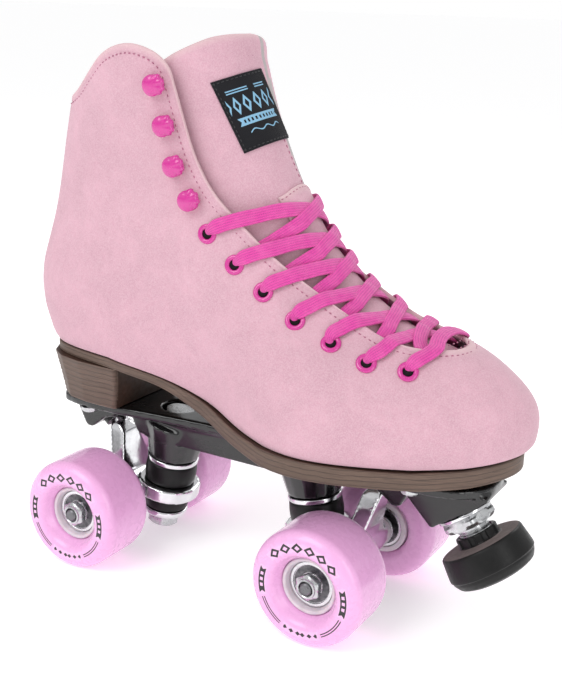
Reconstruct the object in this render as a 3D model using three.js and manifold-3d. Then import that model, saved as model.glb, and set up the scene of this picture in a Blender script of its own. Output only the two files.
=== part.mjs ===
// A high-top quad roller skate for the right foot: laced suede boot with its sole and heel, nylon plate,
// two sprung trucks, four wheels on ball bearings and an adjustable toe stop.
// Millimetres. +X points to the toe, +Y to the wearer's left, +Z up, ground at z = 0.
import * as THREE from "three";
import { mergeVertices } from "three/addons/utils/BufferGeometryUtils.js";
import Module from "manifold-3d";

const wasm = await Module();
wasm.setup();

// ---- Driving dimensions -------------------------------------------------------------------------
const WHEEL_DIAMETER = 57;
const WHEEL_WIDTH = 33.6;
const WHEELBASE = 138;
const HALF_TRACK = 40.4; // middle of the skate to the middle of a wheel
const PLATE_LENGTH = 242;
const PLATE_FRONT = 137; // front end of the plate, ahead of the middle of the wheelbase
const DECK_THICKNESS = 4.5;
const SOLE_REST = 79; // ground to the flat underside of the forepart
const HEEL_HEIGHT = 24; // height of the stacked heel under the sole
const FOREPART_SOLE = 8.5; // sole thickness under the ball of the foot
const HEEL_SOLE = 5; // sole thickness above the heel
const UPPER_THICKNESS = 2.2;
const LINING_THICKNESS = 1.8;
const TONGUE_THICKNESS = 4;
const LACE_WIDTH = 7;
const LACE_THICKNESS = 1.6;
const LACE_PAIRS = 7;
const HOOK_PAIRS = 4;
const KINGPIN_LEAN = THREE.MathUtils.degToRad(10);
const STOP_LEAN = THREE.MathUtils.degToRad(35);
const CUSHION_DIAMETER = 26.6;
const STOP_PAD_DIAMETER = 43;
const BEARING_OUTSIDE = 22;
const BEARING_BORE = 7;
const BEARING_WIDTH = 7;

// ---- Named clearances ---------------------------------------------------------------------------
const GAP = 0.3; // between pieces that rest on or in each other
const LACE_ROOM = LACE_THICKNESS + 4 * GAP; // between the stays and the tongue

const AXLE_HEIGHT = WHEEL_DIAMETER / 2;
const PLATE_TOP = SOLE_REST - GAP;
const HEEL_SEAT = SOLE_REST + HEEL_HEIGHT; // underside of the sole over the heel

// ---- Solids -------------------------------------------------------------------------------------
function solid(geometry) {
  const bare = geometry.clone();
  bare.deleteAttribute("normal");
  bare.deleteAttribute("uv");
  const merged = mergeVertices(bare, 1e-3);
  return new wasm.Manifold(
    new wasm.Mesh({
      numProp: 3,
      vertProperties: new Float32Array(merged.attributes.position.array),
      triVerts: new Uint32Array(merged.index.array),
    }),
  );
}

function geometryOf(body) {
  const mesh = body.getMesh();
  const stride = mesh.numProp;
  const position = new Float32Array(mesh.numVert * 3);
  for (let i = 0; i < mesh.numVert; i++) {
    position.set(mesh.vertProperties.subarray(i * stride, i * stride + 3), i * 3);
  }
  return new THREE.BufferGeometry()
    .setAttribute("position", new THREE.BufferAttribute(position, 3))
    .setIndex(new THREE.BufferAttribute(mesh.triVerts, 1));
}

const joined = (bodies) => bodies.reduce((whole, body) => whole.add(body));

function largest(body) {
  return body.decompose().reduce((best, piece) => (piece.volume() > best.volume() ? piece : best));
}

// A closed skin over rings that hold the same number of points, each ring counter-clockwise seen from
// the last one.
function loft(rings) {
  const count = rings[0].length;
  const points = rings.flat();
  const middle = (ring) =>
    ring.reduce((sum, p) => sum.add(p), new THREE.Vector3()).divideScalar(count);
  points.push(middle(rings[0]), middle(rings.at(-1)));
  const bottom = points.length - 2;
  const top = points.length - 1;
  const last = (rings.length - 1) * count;
  const index = [];
  for (let k = 0; k < count; k++) {
    const next = (k + 1) % count;
    for (let level = 0; level < rings.length - 1; level++) {
      const a = level * count + k;
      const b = level * count + next;
      index.push(a, b, b + count, a, b + count, a + count);
    }
    index.push(bottom, next, k, top, last + k, last + next);
  }
  return new THREE.BufferGeometry().setFromPoints(points).setIndex(index);
}

// A side view outline of [x, z] corners, carried across from one y to another.
function across(corners, fromY, toY) {
  const shape = new THREE.Shape(corners.map(([x, z]) => new THREE.Vector2(x, z)));
  return new THREE.ExtrudeGeometry(shape, { depth: toY - fromY, bevelEnabled: false })
    .rotateX(Math.PI / 2)
    .translate(0, toY, 0);
}

// A plan outline of Vector2 points, carried up from one z to another.
function upward(outline, fromZ, toZ) {
  return new THREE.ExtrudeGeometry(new THREE.Shape(outline), {
    depth: toZ - fromZ,
    bevelEnabled: false,
  }).translate(0, 0, fromZ);
}

// A turned piece: [radius, along] corners, given anticlockwise, turned about +Y.
function turned(corners, segments) {
  const loop = corners.map(([r, y]) => new THREE.Vector2(r, y));
  if (corners[0][0] > 0) {
    loop.push(loop[0].clone());
  }
  return new THREE.LatheGeometry(loop, segments);
}

const UP = new THREE.Vector3(0, 0, 1);
const ALONG_Y = new THREE.Vector3(0, 1, 0);

// Turns a piece made along +Y so that it runs along a direction from a point.
function aimed(geometry, from, direction) {
  const turn = new THREE.Quaternion().setFromUnitVectors(ALONG_Y, direction.clone().normalize());
  return geometry.applyQuaternion(turn).translate(from.x, from.y, from.z);
}

function rod(radius, from, direction, length, segments = 16) {
  return aimed(
    turned([[0, 0], [radius, 0], [radius, length], [0, length]], segments),
    from,
    direction,
  );
}

function hexagon(acrossFlats, height) {
  return new THREE.CylinderGeometry(
    acrossFlats / Math.sqrt(3),
    acrossFlats / Math.sqrt(3),
    height,
    6,
  ).translate(0, height / 2, 0);
}

// ---- Finishes -----------------------------------------------------------------------------------
const finish = (color, roughness, metalness) => ({ color, roughness, metalness });
const SUEDE = finish("#e3a9b8", 0.95, 0);
const LINING = finish("#8f8a89", 0.9, 0);
const LABEL = finish("#1c1c20", 0.8, 0);
const LACE = finish("#e0369a", 0.75, 0);
const ENAMEL = finish("#e23aa6", 0.25, 0.1);
const STACKED_LEATHER = finish("#75584a", 0.6, 0);
const INSOLE_BOARD = finish("#a39a90", 0.9, 0);
const NYLON = finish("#17171a", 0.35, 0);
const CHROME = finish("#d8dadf", 0.12, 1);
const ZINC = finish("#c3c6c9", 0.3, 1);
const CUSHION_RUBBER = finish("#141414", 0.6, 0);
const STOP_RUBBER = finish("#1b1b1c", 0.7, 0);
const URETHANE = finish("#dc9fd6", 0.3, 0);
const HUB_NYLON = finish("#e9e2e6", 0.4, 0);
const BEARING_STEEL = finish("#a9abb0", 0.25, 1);

function piece(name, geometry, look) {
  const mesh = new THREE.Mesh(geometry, new THREE.MeshStandardMaterial(look));
  mesh.name = name;
  return mesh;
}

// ---- The last: the outer surface of the boot as a stack of plan outlines ---------------------------
// Each station gives its height, its back and front ends and its half widths at the heel, waist, ball
// and toe. The front ends follow the toe cap, the instep and the front of the leg.
const STATIONS = [
  { z: 84, back: -109, front: 144, heel: 29, waist: 30, ball: 49.5, toe: 34 },
  { z: 100, back: -111, front: 149.5, heel: 31, waist: 32.5, ball: 51.5, toe: 39 },
  { z: 116, back: -116.5, front: 147.5, heel: 33.2, waist: 35.5, ball: 50, toe: 36.5 },
  { z: 127, back: -120, front: 138, heel: 33.5, waist: 36.5, ball: 47, toe: 32 },
  { z: 134, back: -121, front: 128, heel: 33, waist: 36.5, ball: 44.5, toe: 29 },
  { z: 139, back: -121, front: 117, heel: 33, waist: 36.5, ball: 42.5, toe: 27 },
  { z: 144, back: -120.5, front: 101, heel: 32.5, waist: 36, ball: 40.5, toe: 27 },
  { z: 151, back: -119.5, front: 85, heel: 31.5, waist: 35.5, ball: 39, toe: 28 },
  { z: 160, back: -117, front: 70, heel: 30, waist: 34.5, ball: 37.5, toe: 27.5 },
  { z: 176, back: -112, front: 54.5, heel: 28.6, waist: 32.8, ball: 35, toe: 25.8 },
  { z: 205, back: -104, front: 33, heel: 28, waist: 33, ball: 34.5, toe: 26 },
  { z: 228, back: -98.5, front: 21, heel: 29, waist: 35, ball: 35.5, toe: 27 },
  { z: 255, back: -91, front: 11, heel: 31, waist: 37.5, ball: 37, toe: 28 },
  { z: 285, back: -83, front: 3, heel: 32, waist: 39, ball: 38.5, toe: 29 },
];
const TOE_SWING = 6; // how far the tip of the toe lies towards the inner side of the foot
const ARCH_IN = 0.88; // half width of the waist on the inner side, as a share of the outer side
const INSTEP_LEVEL = 150; // height where the foot has become the leg
const RING_STEPS = 2; // points between two control points of an outline
const SPOTS = [
  [0.035, "heel", 0.62],
  [0.2, "heel", 1],
  [0.42, "waist", 1],
  [0.66, "ball", 1],
  [0.86, "toe", 1],
  [0.97, "toe", 0.52],
];

function outline(station) {
  const length = station.front - station.back;
  const footness = THREE.MathUtils.clamp((INSTEP_LEVEL - station.z) / 40, 0, 1);
  const spot = (share, width, side) => {
    const x = station.back + share * length;
    const lean = Math.max(0, (x - 20) / 130);
    return new THREE.Vector3(x, side * width + TOE_SWING * footness * lean * lean, station.z);
  };
  const sideSpots = (side) =>
    SPOTS.map(([share, girth, part]) => {
      const inner = side > 0 && girth === "waist" ? 1 - (1 - ARCH_IN) * footness : 1;
      return spot(share, station[girth] * part * inner, side);
    });
  const right = sideSpots(-1);
  const left = sideSpots(1).reverse();
  const control = [spot(0, 0, 1), ...right, spot(1, 0, 1), ...left];
  const curve = new THREE.CatmullRomCurve3(control, true, "centripetal");
  return curve.getPoints(control.length * RING_STEPS).slice(0, -1);
}

const RINGS = STATIONS.map(outline);
const RING_POINTS = RINGS[0].length;
const FRONT_POINT = RING_POINTS / 2;

function gridNormal(level, k) {
  const below = RINGS[Math.max(0, level - 1)][k];
  const above = RINGS[Math.min(RINGS.length - 1, level + 1)][k];
  const before = RINGS[level][(k + RING_POINTS - 1) % RING_POINTS];
  const after = RINGS[level][(k + 1) % RING_POINTS];
  return after.clone().sub(before).cross(above.clone().sub(below)).normalize();
}

const NORMALS = RINGS.map((ring, level) => ring.map((_, k) => gridNormal(level, k)));

// The last shrunk by a depth, or grown where the depth is negative.
function last(depth) {
  const rings = RINGS.map((ring, level) =>
    ring.map((p, k) => p.clone().addScaledVector(NORMALS[level][k], -depth)),
  );
  return solid(loft(rings));
}

// A point on the last at a place round the ring and a level, lifted off the surface, and its normal.
function onLast(round, level, lift = 0) {
  const low = Math.min(RINGS.length - 2, Math.max(0, Math.floor(level)));
  const k = Math.floor(round);
  const blend = (grid) => {
    const row = (i) =>
      grid[i][k % RING_POINTS].clone().lerp(grid[i][(k + 1) % RING_POINTS], round - k);
    return row(low).lerp(row(low + 1), level - low);
  };
  const normal = blend(NORMALS).normalize();
  return { point: blend(RINGS).addScaledVector(normal, lift), normal };
}

// The level of a height, counted in stations.
function levelAt(z) {
  let low = 0;
  while (low < STATIONS.length - 2 && STATIONS[low + 1].z < z) {
    low++;
  }
  return low + (z - STATIONS[low].z) / (STATIONS[low + 1].z - STATIONS[low].z);
}

// The place round the ring and the level of the point seen at (x, z) from one side.
function placeOnLast(x, z, side) {
  const level = levelAt(z);
  let near = 0;
  let far = FRONT_POINT;
  while (far - near > 0.01) {
    const half = (near + far) / 2;
    const seen = onLast(side < 0 ? half : RING_POINTS - half, level).point.x;
    if (seen < x) {
      near = half;
    } else {
      far = half;
    }
  }
  return { round: side < 0 ? near : RING_POINTS - near, level };
}

// ---- Side view lines of the boot ----------------------------------------------------------------
const smooth = (corners, steps) =>
  new THREE.SplineCurve(corners.map(([x, z]) => new THREE.Vector2(x, z)))
    .getPoints(steps)
    .map((p) => [p.x, p.y]);

const FAR = 400; // beyond every side of the skate
const SOLE_TOP_FOREPART = SOLE_REST + FOREPART_SOLE;
const SOLE_TOP_HEEL = HEEL_SEAT + HEEL_SOLE;
const TOE_SPRING = 6; // rise of the sole at its tip

// Sole top and underside, from the heel to the toe.
const SOLE_TOP = [
  [-FAR, SOLE_TOP_HEEL],
  ...smooth(
    [
      [-62, SOLE_TOP_HEEL],
      [-30, SOLE_TOP_HEEL - 4],
      [-4, SOLE_TOP_FOREPART + 10],
      [18, SOLE_TOP_FOREPART + 2.5],
      [38, SOLE_TOP_FOREPART],
    ],
    10,
  ),
  [108, SOLE_TOP_FOREPART],
  [128, SOLE_TOP_FOREPART + 0.35 * TOE_SPRING],
  [150, SOLE_TOP_FOREPART + TOE_SPRING],
  [FAR, SOLE_TOP_FOREPART + TOE_SPRING],
];
const SOLE_UNDER = [
  [-FAR, HEEL_SEAT],
  ...smooth(
    [
      [-57, HEEL_SEAT],
      [-30, HEEL_SEAT - 3.5],
      [-6, SOLE_REST + 12],
      [15, SOLE_REST + 4],
      [38, SOLE_REST],
    ],
    10,
  ),
  [112, SOLE_REST],
  [130, SOLE_REST + 0.35 * TOE_SPRING],
  [150, SOLE_REST + TOE_SPRING],
  [FAR, SOLE_REST + TOE_SPRING],
];

const raised = (line, by) => line.map(([x, z]) => [x, z + by]);

// Everything between two side view lines.
function band(under, over) {
  return solid(across([...under, ...over.slice().reverse()], -FAR, FAR));
}

// The collar's top edge from the back seam round to the front corner of the flaps, and the flaps' front
// edge from there down to the throat.
const COLLAR = [
  [-110, 233],
  [-96, 235.5],
  [-84, 240],
  [-72, 249.5],
  [-61, 258],
  [-50, 262.5],
  [-39, 263.5],
  [-28, 260.5],
  [-21, 254.5],
];
const FLAP_EDGE = [
  [-18, 246],
  [-12, 226],
  [-7, 213],
  [1, 200],
  [12, 189],
  [26, 177],
  [40, 167],
  [55, 158],
  [70, 150],
  [84, 143.5],
  [97, 140.6],
  [113, 139.4],
];
const THROAT = FLAP_EDGE.at(-1);

// The flaps' front edge moved down and back.
const setBackEdge = (by) => FLAP_EDGE.map(([x, z]) => [x - 0.7 * by, z - 0.7 * by]);

// The collar, lowered, and the flaps' front edge, set back, as one line.
function trimmed(setBack, drop) {
  const edge = setBackEdge(setBack);
  const lower = raised(COLLAR, -drop).filter(([x]) => x < edge[0][0] - 2);
  return smooth([...lower, ...edge], 44);
}

// All that lies above the collar and ahead of the flaps' front edge.
function mouthCutter(setBack = 0, drop = 0) {
  const edge = trimmed(setBack, drop);
  return solid(across([[-FAR, edge[0][1]], ...edge, [THROAT[0], FAR], [-FAR, FAR]], -FAR, FAR));
}

// A flat ribbon through places on the last; each place is { round, level, lift }. Its four corners
// follow the surface one by one.
function ribbon(places, width, thickness) {
  const seats = places.map(({ round, level, lift }) => onLast(round, level, lift));
  const rings = seats.map(({ point, normal }, i) => {
    const before = seats[Math.max(0, i - 1)].point;
    const after = seats[Math.min(seats.length - 1, i + 1)].point;
    const side = after.clone().sub(before).cross(normal).normalize();
    const corner = (share, up) =>
      point
        .clone()
        .addScaledVector(side, (share * width) / 2)
        .addScaledVector(normal, (up * thickness) / 2);
    return [corner(-1, 1), corner(1, 1), corner(1, -1), corner(-1, -1)];
  });
  return solid(loft(rings));
}

// ---- Eyelets and speed hooks --------------------------------------------------------------------
const EYELET_SPOTS = [
  [0, 180.5],
  [15, 168],
  [30.5, 157.5],
  [47.5, 147],
  [66, 139.5],
  [83.5, 133.5],
  [101, 131.5],
];
const HOOK_SPOTS = [
  [-27, 246],
  [-22.5, 228],
  [-17.5, 210],
  [-9.5, 195],
];
const EYELET_RADIUS = 4.6;
const EYELET_HOLE = 2.6;
const BARREL_RADIUS = 3.2;
const FLANGE_HEIGHT = 0.9;
const HOOK_RADIUS = 5;
const RIVET_RADIUS = 1.7;
const STAY_THICKNESS = 0.6;
const STAY_DEPTH = UPPER_THICKNESS + 2.5 * GAP; // the flat stay lies under a curved upper
const STAY_HALF_WIDTH = 4;

const SIDES = [
  ["right", -1],
  ["left", 1],
];

function fittingAt([x, z], side) {
  const place = placeOnLast(x, z, side);
  return { ...place, z, ...onLast(place.round, place.level) };
}

const eyeletsOn = (side) => EYELET_SPOTS.map((spot) => fittingAt(spot, side));
const hooksOn = (side) => HOOK_SPOTS.map((spot) => fittingAt(spot, side));

// A rod from below the upper to above it at a fitting.
function through(fitting, radius, below, above, segments = 12) {
  const start = fitting.point.clone().addScaledVector(fitting.normal, -below);
  return solid(rod(radius, start, fitting.normal, below + above, segments));
}

function bootUpper() {
  let body = last(0).subtract(last(UPPER_THICKNESS));
  body = body.subtract(band(SOLE_TOP.map(([x]) => [x, -FAR]), raised(SOLE_TOP, GAP)));
  body = body.subtract(mouthCutter());
  for (const [, side] of SIDES) {
    for (const eyelet of eyeletsOn(side)) {
      body = body.subtract(through(eyelet, BARREL_RADIUS + GAP, 5, 3, 8));
    }
    for (const hook of hooksOn(side)) {
      body = body.subtract(through(hook, RIVET_RADIUS + GAP, 5, 3, 6));
    }
  }
  return largest(body);
}

// The stay behind a row of fittings: a strip along the row, under the upper.
function stay(fittings) {
  const places = [];
  const lift = -(STAY_DEPTH + STAY_THICKNESS / 2);
  const between = (a, b, t) => ({
    round: a.round + (b.round - a.round) * t,
    level: a.level + (b.level - a.level) * t,
    lift,
  });
  const endRoom = STAY_HALF_WIDTH / 16; // past the end fittings, as a share of the pitch
  places.push(between(fittings[0], fittings[1], -endRoom));
  for (let i = 0; i < fittings.length - 1; i++) {
    places.push(between(fittings[i], fittings[i + 1], 0), between(fittings[i], fittings[i + 1], 0.5));
  }
  places.push(between(fittings.at(-2), fittings.at(-1), 1));
  places.push(between(fittings.at(-2), fittings.at(-1), 1 + endRoom));
  return ribbon(places, 2 * STAY_HALF_WIDTH, STAY_THICKNESS);
}

// A row of fittings, each turned about its own normal, joined by the stay behind them.
function fittingRow(fittings, profile, bore) {
  let body = stay(fittings);
  for (const fitting of fittings) {
    if (bore) {
      body = body.subtract(through(fitting, bore, 8, 0, 8));
    }
    body = body.add(solid(aimed(turned(profile, 8), fitting.point.clone(), fitting.normal)));
  }
  return largest(body);
}

const FOOT = -(STAY_DEPTH + STAY_THICKNESS + GAP / 2); // where the fittings end, under the stay
const EYELET_PROFILE = [
  [EYELET_HOLE, FOOT],
  [BARREL_RADIUS, FOOT],
  [BARREL_RADIUS, GAP],
  [EYELET_RADIUS, GAP],
  [EYELET_HOLE + 0.8, GAP + FLANGE_HEIGHT],
];
const HOOK_PROFILE = [
  [0, FOOT],
  [RIVET_RADIUS, FOOT],
  [RIVET_RADIUS, GAP],
  [HOOK_RADIUS, GAP],
  [HOOK_RADIUS, GAP + 1],
  [2.4, GAP + 1.4],
  [2.4, GAP + 3.6],
  [HOOK_RADIUS - 0.4, GAP + 3.8],
  [HOOK_RADIUS - 1.4, GAP + 5.4],
  [0, GAP + 6],
];
const eyeletRow = (side) => fittingRow(eyeletsOn(side), EYELET_PROFILE, EYELET_HOLE + 0.3);
const hookRow = (side) => fittingRow(hooksOn(side), HOOK_PROFILE, 0);

// ---- Tongue, lining, insole, label and back stay --------------------------------------------------
const TONGUE_DEPTH = STAY_DEPTH + STAY_THICKNESS + LACE_ROOM;
const TONGUE_UNDER_FLAP = 13; // how far the tongue reaches behind the flaps' front edge
const TONGUE_TOP = [
  [-38, 256],
  [-27, 263.5],
  [-16, 267.5],
  [-8, 269],
  [-1, 265.5],
  [5, 254],
];
const TONGUE_TOE_END = 118;

function tongue() {
  const shell = last(TONGUE_DEPTH).subtract(last(TONGUE_DEPTH + TONGUE_THICKNESS));
  const hidden = setBackEdge(TONGUE_UNDER_FLAP);
  const region = [
    ...hidden,
    [TONGUE_TOE_END, hidden.at(-1)[1]],
    [TONGUE_TOE_END, 150],
    [60, 200],
    ...smooth(TONGUE_TOP, 9).reverse(),
  ];
  return largest(shell.intersect(solid(across(region, -FAR, FAR))));
}

// The label sewn askew on the outer side of the tongue's front: its corners from the top outer one
// round by the bottom.
const LABEL_THICKNESS = 0.8;
const LABEL_CORNERS = [
  new THREE.Vector3(-6.7, -23.4, 247.4),
  new THREE.Vector3(9.1, -18.3, 216.4),
  new THREE.Vector3(16.5, 8.8, 222),
  new THREE.Vector3(4.7, -0.9, 253.5),
];

function tongueLabel() {
  const [topOuter, bottomOuter, , topInner] = LABEL_CORNERS;
  const down = bottomOuter.clone().sub(topOuter);
  const outward = down.cross(topInner.clone().sub(topOuter)).normalize();
  const ringAt = (out) => LABEL_CORNERS.map((p) => p.clone().addScaledVector(outward, out));
  const under = TONGUE_DEPTH - GAP;
  const skin = last(under - LABEL_THICKNESS).subtract(last(under));
  return largest(skin.intersect(solid(loft([ringAt(-10), ringAt(10)]))));
}

const LINING_DEPTH = UPPER_THICKNESS + GAP;
const LINING_SET_BACK = 34; // behind the flaps' front edge, clear of the stays
const LINING_DROP = 2;

function bootLining() {
  let body = last(LINING_DEPTH).subtract(last(LINING_DEPTH + LINING_THICKNESS));
  body = body.subtract(band(SOLE_TOP.map(([x]) => [x, -FAR]), raised(SOLE_TOP, GAP)));
  const edge = trimmed(LINING_SET_BACK, LINING_DROP);
  const toeEnd = TONGUE_TOE_END + 2;
  const ahead = [[-FAR, edge[0][1]], ...edge, [toeEnd, 128], [toeEnd, FAR], [-FAR, FAR]];
  body = body.subtract(solid(across(ahead, -FAR, FAR)));
  return largest(body);
}

const INSOLE_THICKNESS = 3;
const INSOLE_DEPTH = LINING_DEPTH + LINING_THICKNESS + GAP;

function insole() {
  const slab = band(raised(SOLE_TOP, GAP), raised(SOLE_TOP, GAP + INSOLE_THICKNESS));
  return largest(last(INSOLE_DEPTH).intersect(slab));
}

const BACK_STAY_HALF_WIDTH = 8;
const BACK_STAY_THICKNESS = 1.1;

function backStay() {
  const skin = last(-GAP - BACK_STAY_THICKNESS).subtract(last(-GAP));
  const strip = upward(
    [
      new THREE.Vector2(-FAR, -BACK_STAY_HALF_WIDTH),
      new THREE.Vector2(-80, -BACK_STAY_HALF_WIDTH),
      new THREE.Vector2(-80, BACK_STAY_HALF_WIDTH),
      new THREE.Vector2(-FAR, BACK_STAY_HALF_WIDTH),
    ],
    SOLE_TOP_HEEL + 1,
    231,
  );
  return largest(skin.intersect(solid(strip)));
}

// ---- Sole, heel ---------------------------------------------------------------------------------
const SOLE_STATION = { z: 90, back: -113, front: 145, heel: 31, waist: 32.5, ball: 51, toe: 36.5 };

function outsole() {
  const plan = outline(SOLE_STATION).map((p) => new THREE.Vector2(p.x, p.y));
  return solid(upward(plan, 0, FAR)).intersect(band(SOLE_UNDER, SOLE_TOP));
}

const HEEL_TOP = { z: HEEL_SEAT - GAP, back: -113, breast: -58, half: 30.5 };
const HEEL_WAIST = { z: SOLE_REST + 12, back: -110.5, breast: -60, half: 27.5 };
const HEEL_FOOT = { z: SOLE_REST, back: -107.5, breast: -62.5, half: 25.5 };

function heelRing({ z, back, breast, half }) {
  const length = breast - back;
  const side = (sign) => [
    [back + 0.03 * length, 0.35],
    [back + 0.13 * length, 0.68],
    [back + 0.3 * length, 0.9],
    [back + 0.55 * length, 1],
    [breast, 1.02],
  ].map(([x, share]) => new THREE.Vector3(x, sign * share * half, z));
  return [new THREE.Vector3(back, 0, z), ...side(-1), ...side(1).reverse()];
}

const heelBlock = () => solid(loft([HEEL_FOOT, HEEL_WAIST, HEEL_TOP].map(heelRing)));

// ---- Trucks -------------------------------------------------------------------------------------
// Both trucks are the same; each is made for the front, with +X outboard (away from the other truck),
// around a point on the ground under the middle of its axle. The rear one is turned half round.
const WASHER_THICKNESS = 2.5;
const UPPER_CUSHION = 11.5;
const RING_THICKNESS = 7.5;
const LOWER_CUSHION = 7.5;
const CUP_THICKNESS = 3.5;
const KINGPIN_NUT = 6.5;
const RING_RADIUS = 17;
const KINGPIN_RADIUS = 4.8;
const CUSHION_BORE = KINGPIN_RADIUS + GAP;
const RING_BORE = 8.5; // wide, so that the ring can tilt round the kingpin
const RING_CENTRE = new THREE.Vector3(-22.6, 0, 32.5);
const PIVOT = new THREE.Vector3(12, 0, 64);
const PIVOT_RADIUS = 4.5;
const PIVOT_LENGTH = 10;
const CUP_WALL = 2.4;
const BARREL_OUTSIDE = 8.5;
const BARREL_HALF_LENGTH = 23;
const AXLE_RADIUS = BEARING_BORE / 2 - GAP;
const AXLE_END = HALF_TRACK + 14.2;
const kingpinUp = new THREE.Vector3(-Math.sin(KINGPIN_LEAN), 0, Math.cos(KINGPIN_LEAN));
const steerAxis = PIVOT.clone().sub(RING_CENTRE).normalize();

// A point on the kingpin, measured up from the middle of the hanger's ring.
const onKingpin = (height) => RING_CENTRE.clone().addScaledVector(kingpinUp, height);
const WASHER_BASE = RING_THICKNESS / 2 + UPPER_CUSHION + 2 * GAP;
const BOSS_FACE = WASHER_BASE + WASHER_THICKNESS + GAP;
const CUP_TOP = -(RING_THICKNESS / 2 + LOWER_CUSHION + 2 * GAP);
const NUT_TOP = CUP_TOP - CUP_THICKNESS - GAP;

// A ring on the kingpin, from one height to another, that may bulge at its middle.
function collar(outer, from, to, bulge) {
  const height = to - from;
  const corners = [
    [CUSHION_BORE, 0],
    [outer, 0],
    ...(bulge ? [[outer + bulge, height / 2]] : []),
    [outer, height],
    [CUSHION_BORE, height],
  ];
  return aimed(turned(corners, 16), onKingpin(from), kingpinUp);
}

function hanger() {
  const barrelStart = new THREE.Vector3(0, -BARREL_HALF_LENGTH, AXLE_HEIGHT);
  const barrel = solid(rod(BARREL_OUTSIDE, barrelStart, ALONG_Y, 2 * BARREL_HALF_LENGTH, 14));
  const ringBottom = onKingpin(-RING_THICKNESS / 2);
  const ring = solid(rod(RING_RADIUS, ringBottom, kingpinUp, RING_THICKNESS, 20));
  const webCorners = [
    [RING_CENTRE.x, RING_CENTRE.z - RING_THICKNESS / 2],
    [2, AXLE_HEIGHT - 4],
    [4, AXLE_HEIGHT + 5],
    [RING_CENTRE.x, RING_CENTRE.z + RING_THICKNESS / 2],
  ];
  const web = solid(across(webCorners, -14.5, 14.5));
  const armTop = PIVOT.clone().addScaledVector(steerAxis, -5);
  const armRing = (x, z, halfX, halfY) => [
    new THREE.Vector3(x - halfX, -halfY, z),
    new THREE.Vector3(x + halfX, -halfY, z),
    new THREE.Vector3(x + halfX, halfY, z),
    new THREE.Vector3(x - halfX, halfY, z),
  ];
  const arm = solid(
    loft([
      armRing(0.5, AXLE_HEIGHT, 6, 17),
      armRing(3, AXLE_HEIGHT + 12, 4.5, 12.5),
      armRing(armTop.x - 0.5, armTop.z - 2, 4.8, 6.5),
      armRing(armTop.x + 0.8, armTop.z + 1.5, 3.6, 5),
    ]),
  );
  const pin = solid(rod(PIVOT_RADIUS, armTop, steerAxis, PIVOT_LENGTH, 12));
  const body = joined([barrel, ring, web, arm, pin]);
  const kingpinHole = solid(rod(RING_BORE, onKingpin(-20), kingpinUp, 45, 16));
  const axleStart = new THREE.Vector3(0, -60, AXLE_HEIGHT);
  const axleHole = solid(rod(AXLE_RADIUS + GAP, axleStart, ALONG_Y, 120));
  const room = CUSHION_DIAMETER / 2 + 1.2;
  const aboveRing = solid(rod(room, onKingpin(RING_THICKNESS / 2), kingpinUp, 14, 16));
  const belowRing = solid(rod(room, onKingpin(-RING_THICKNESS / 2 - 14), kingpinUp, 14, 16));
  return body.subtract(joined([kingpinHole, axleHole, aboveRing, belowRing]));
}

function axle() {
  const start = new THREE.Vector3(0, -AXLE_END, AXLE_HEIGHT);
  const length = 2 * AXLE_END;
  const bevel = 1;
  const corners = [
    [0, 0],
    [AXLE_RADIUS - bevel, 0],
    [AXLE_RADIUS, bevel],
    [AXLE_RADIUS, length - bevel],
    [AXLE_RADIUS - bevel, length],
    [0, length],
  ];
  return solid(turned(corners, 16).translate(start.x, start.y, start.z));
}

const KINGPIN_HEAD = 5;
const KINGPIN_HEAD_SEAT = BOSS_FACE + 21;
const KINGPIN_END = NUT_TOP - KINGPIN_NUT - 1.5;

function kingpin() {
  const length = KINGPIN_HEAD_SEAT - KINGPIN_END;
  const shank = rod(KINGPIN_RADIUS, onKingpin(KINGPIN_END), kingpinUp, length);
  const head = aimed(hexagon(15, KINGPIN_HEAD), onKingpin(KINGPIN_HEAD_SEAT), kingpinUp);
  return solid(shank).add(solid(head));
}

function kingpinNut() {
  const nut = aimed(hexagon(16, KINGPIN_NUT), onKingpin(NUT_TOP - KINGPIN_NUT), kingpinUp);
  return solid(nut).subtract(solid(rod(CUSHION_BORE, onKingpin(NUT_TOP - 20), kingpinUp, 40)));
}

function pivotCup() {
  const wall = PIVOT_RADIUS + GAP + CUP_WALL;
  const corners = [
    [0, 2.5],
    [PIVOT_RADIUS + GAP, 2.5],
    [PIVOT_RADIUS + GAP, -3.5],
    [wall, -3.5],
    [wall, 4.5],
    [0, 4.5],
  ];
  const tip = PIVOT.clone().addScaledVector(steerAxis, PIVOT_LENGTH - 5 - 2.5 + GAP);
  return solid(aimed(turned(corners, 18), tip, steerAxis));
}

// ---- Wheels: made along +Y with the outer face at +Y, about the middle of the tread -----------------
const STACK_OUT = 8; // outer face of the outer bearing, outboard of the middle of the tread
const STACK_WIDTH = 23; // over both bearings
const SPACER = STACK_WIDTH - 2 * BEARING_WIDTH;
const TREAD_RADIUS = WHEEL_DIAMETER / 2;
const SHOULDER = 6.1;
const HUB_RADIUS = 14;
const NUT_HEIGHT = 5;
const HALF_WIDTH = WHEEL_WIDTH / 2;

function tyre() {
  const arc = (centreY, from, to) => {
    const points = [];
    for (let i = 0; i <= 2; i++) {
      const angle = from + ((to - from) * i) / 2;
      const r = TREAD_RADIUS - SHOULDER + SHOULDER * Math.cos(angle);
      points.push([r, centreY + SHOULDER * Math.sin(angle)]);
    }
    return points;
  };
  const corners = [
    [HUB_RADIUS + GAP, -HALF_WIDTH + 4],
    [19.5, -HALF_WIDTH],
    ...arc(-HALF_WIDTH + SHOULDER, -Math.PI / 2, 0),
    ...arc(HALF_WIDTH - SHOULDER, 0, Math.PI / 2),
    [19.5, HALF_WIDTH],
    [16.5, HALF_WIDTH - 1.6],
    [HUB_RADIUS + GAP, HALF_WIDTH - 5.5],
  ];
  return solid(turned(corners, 18));
}

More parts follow.
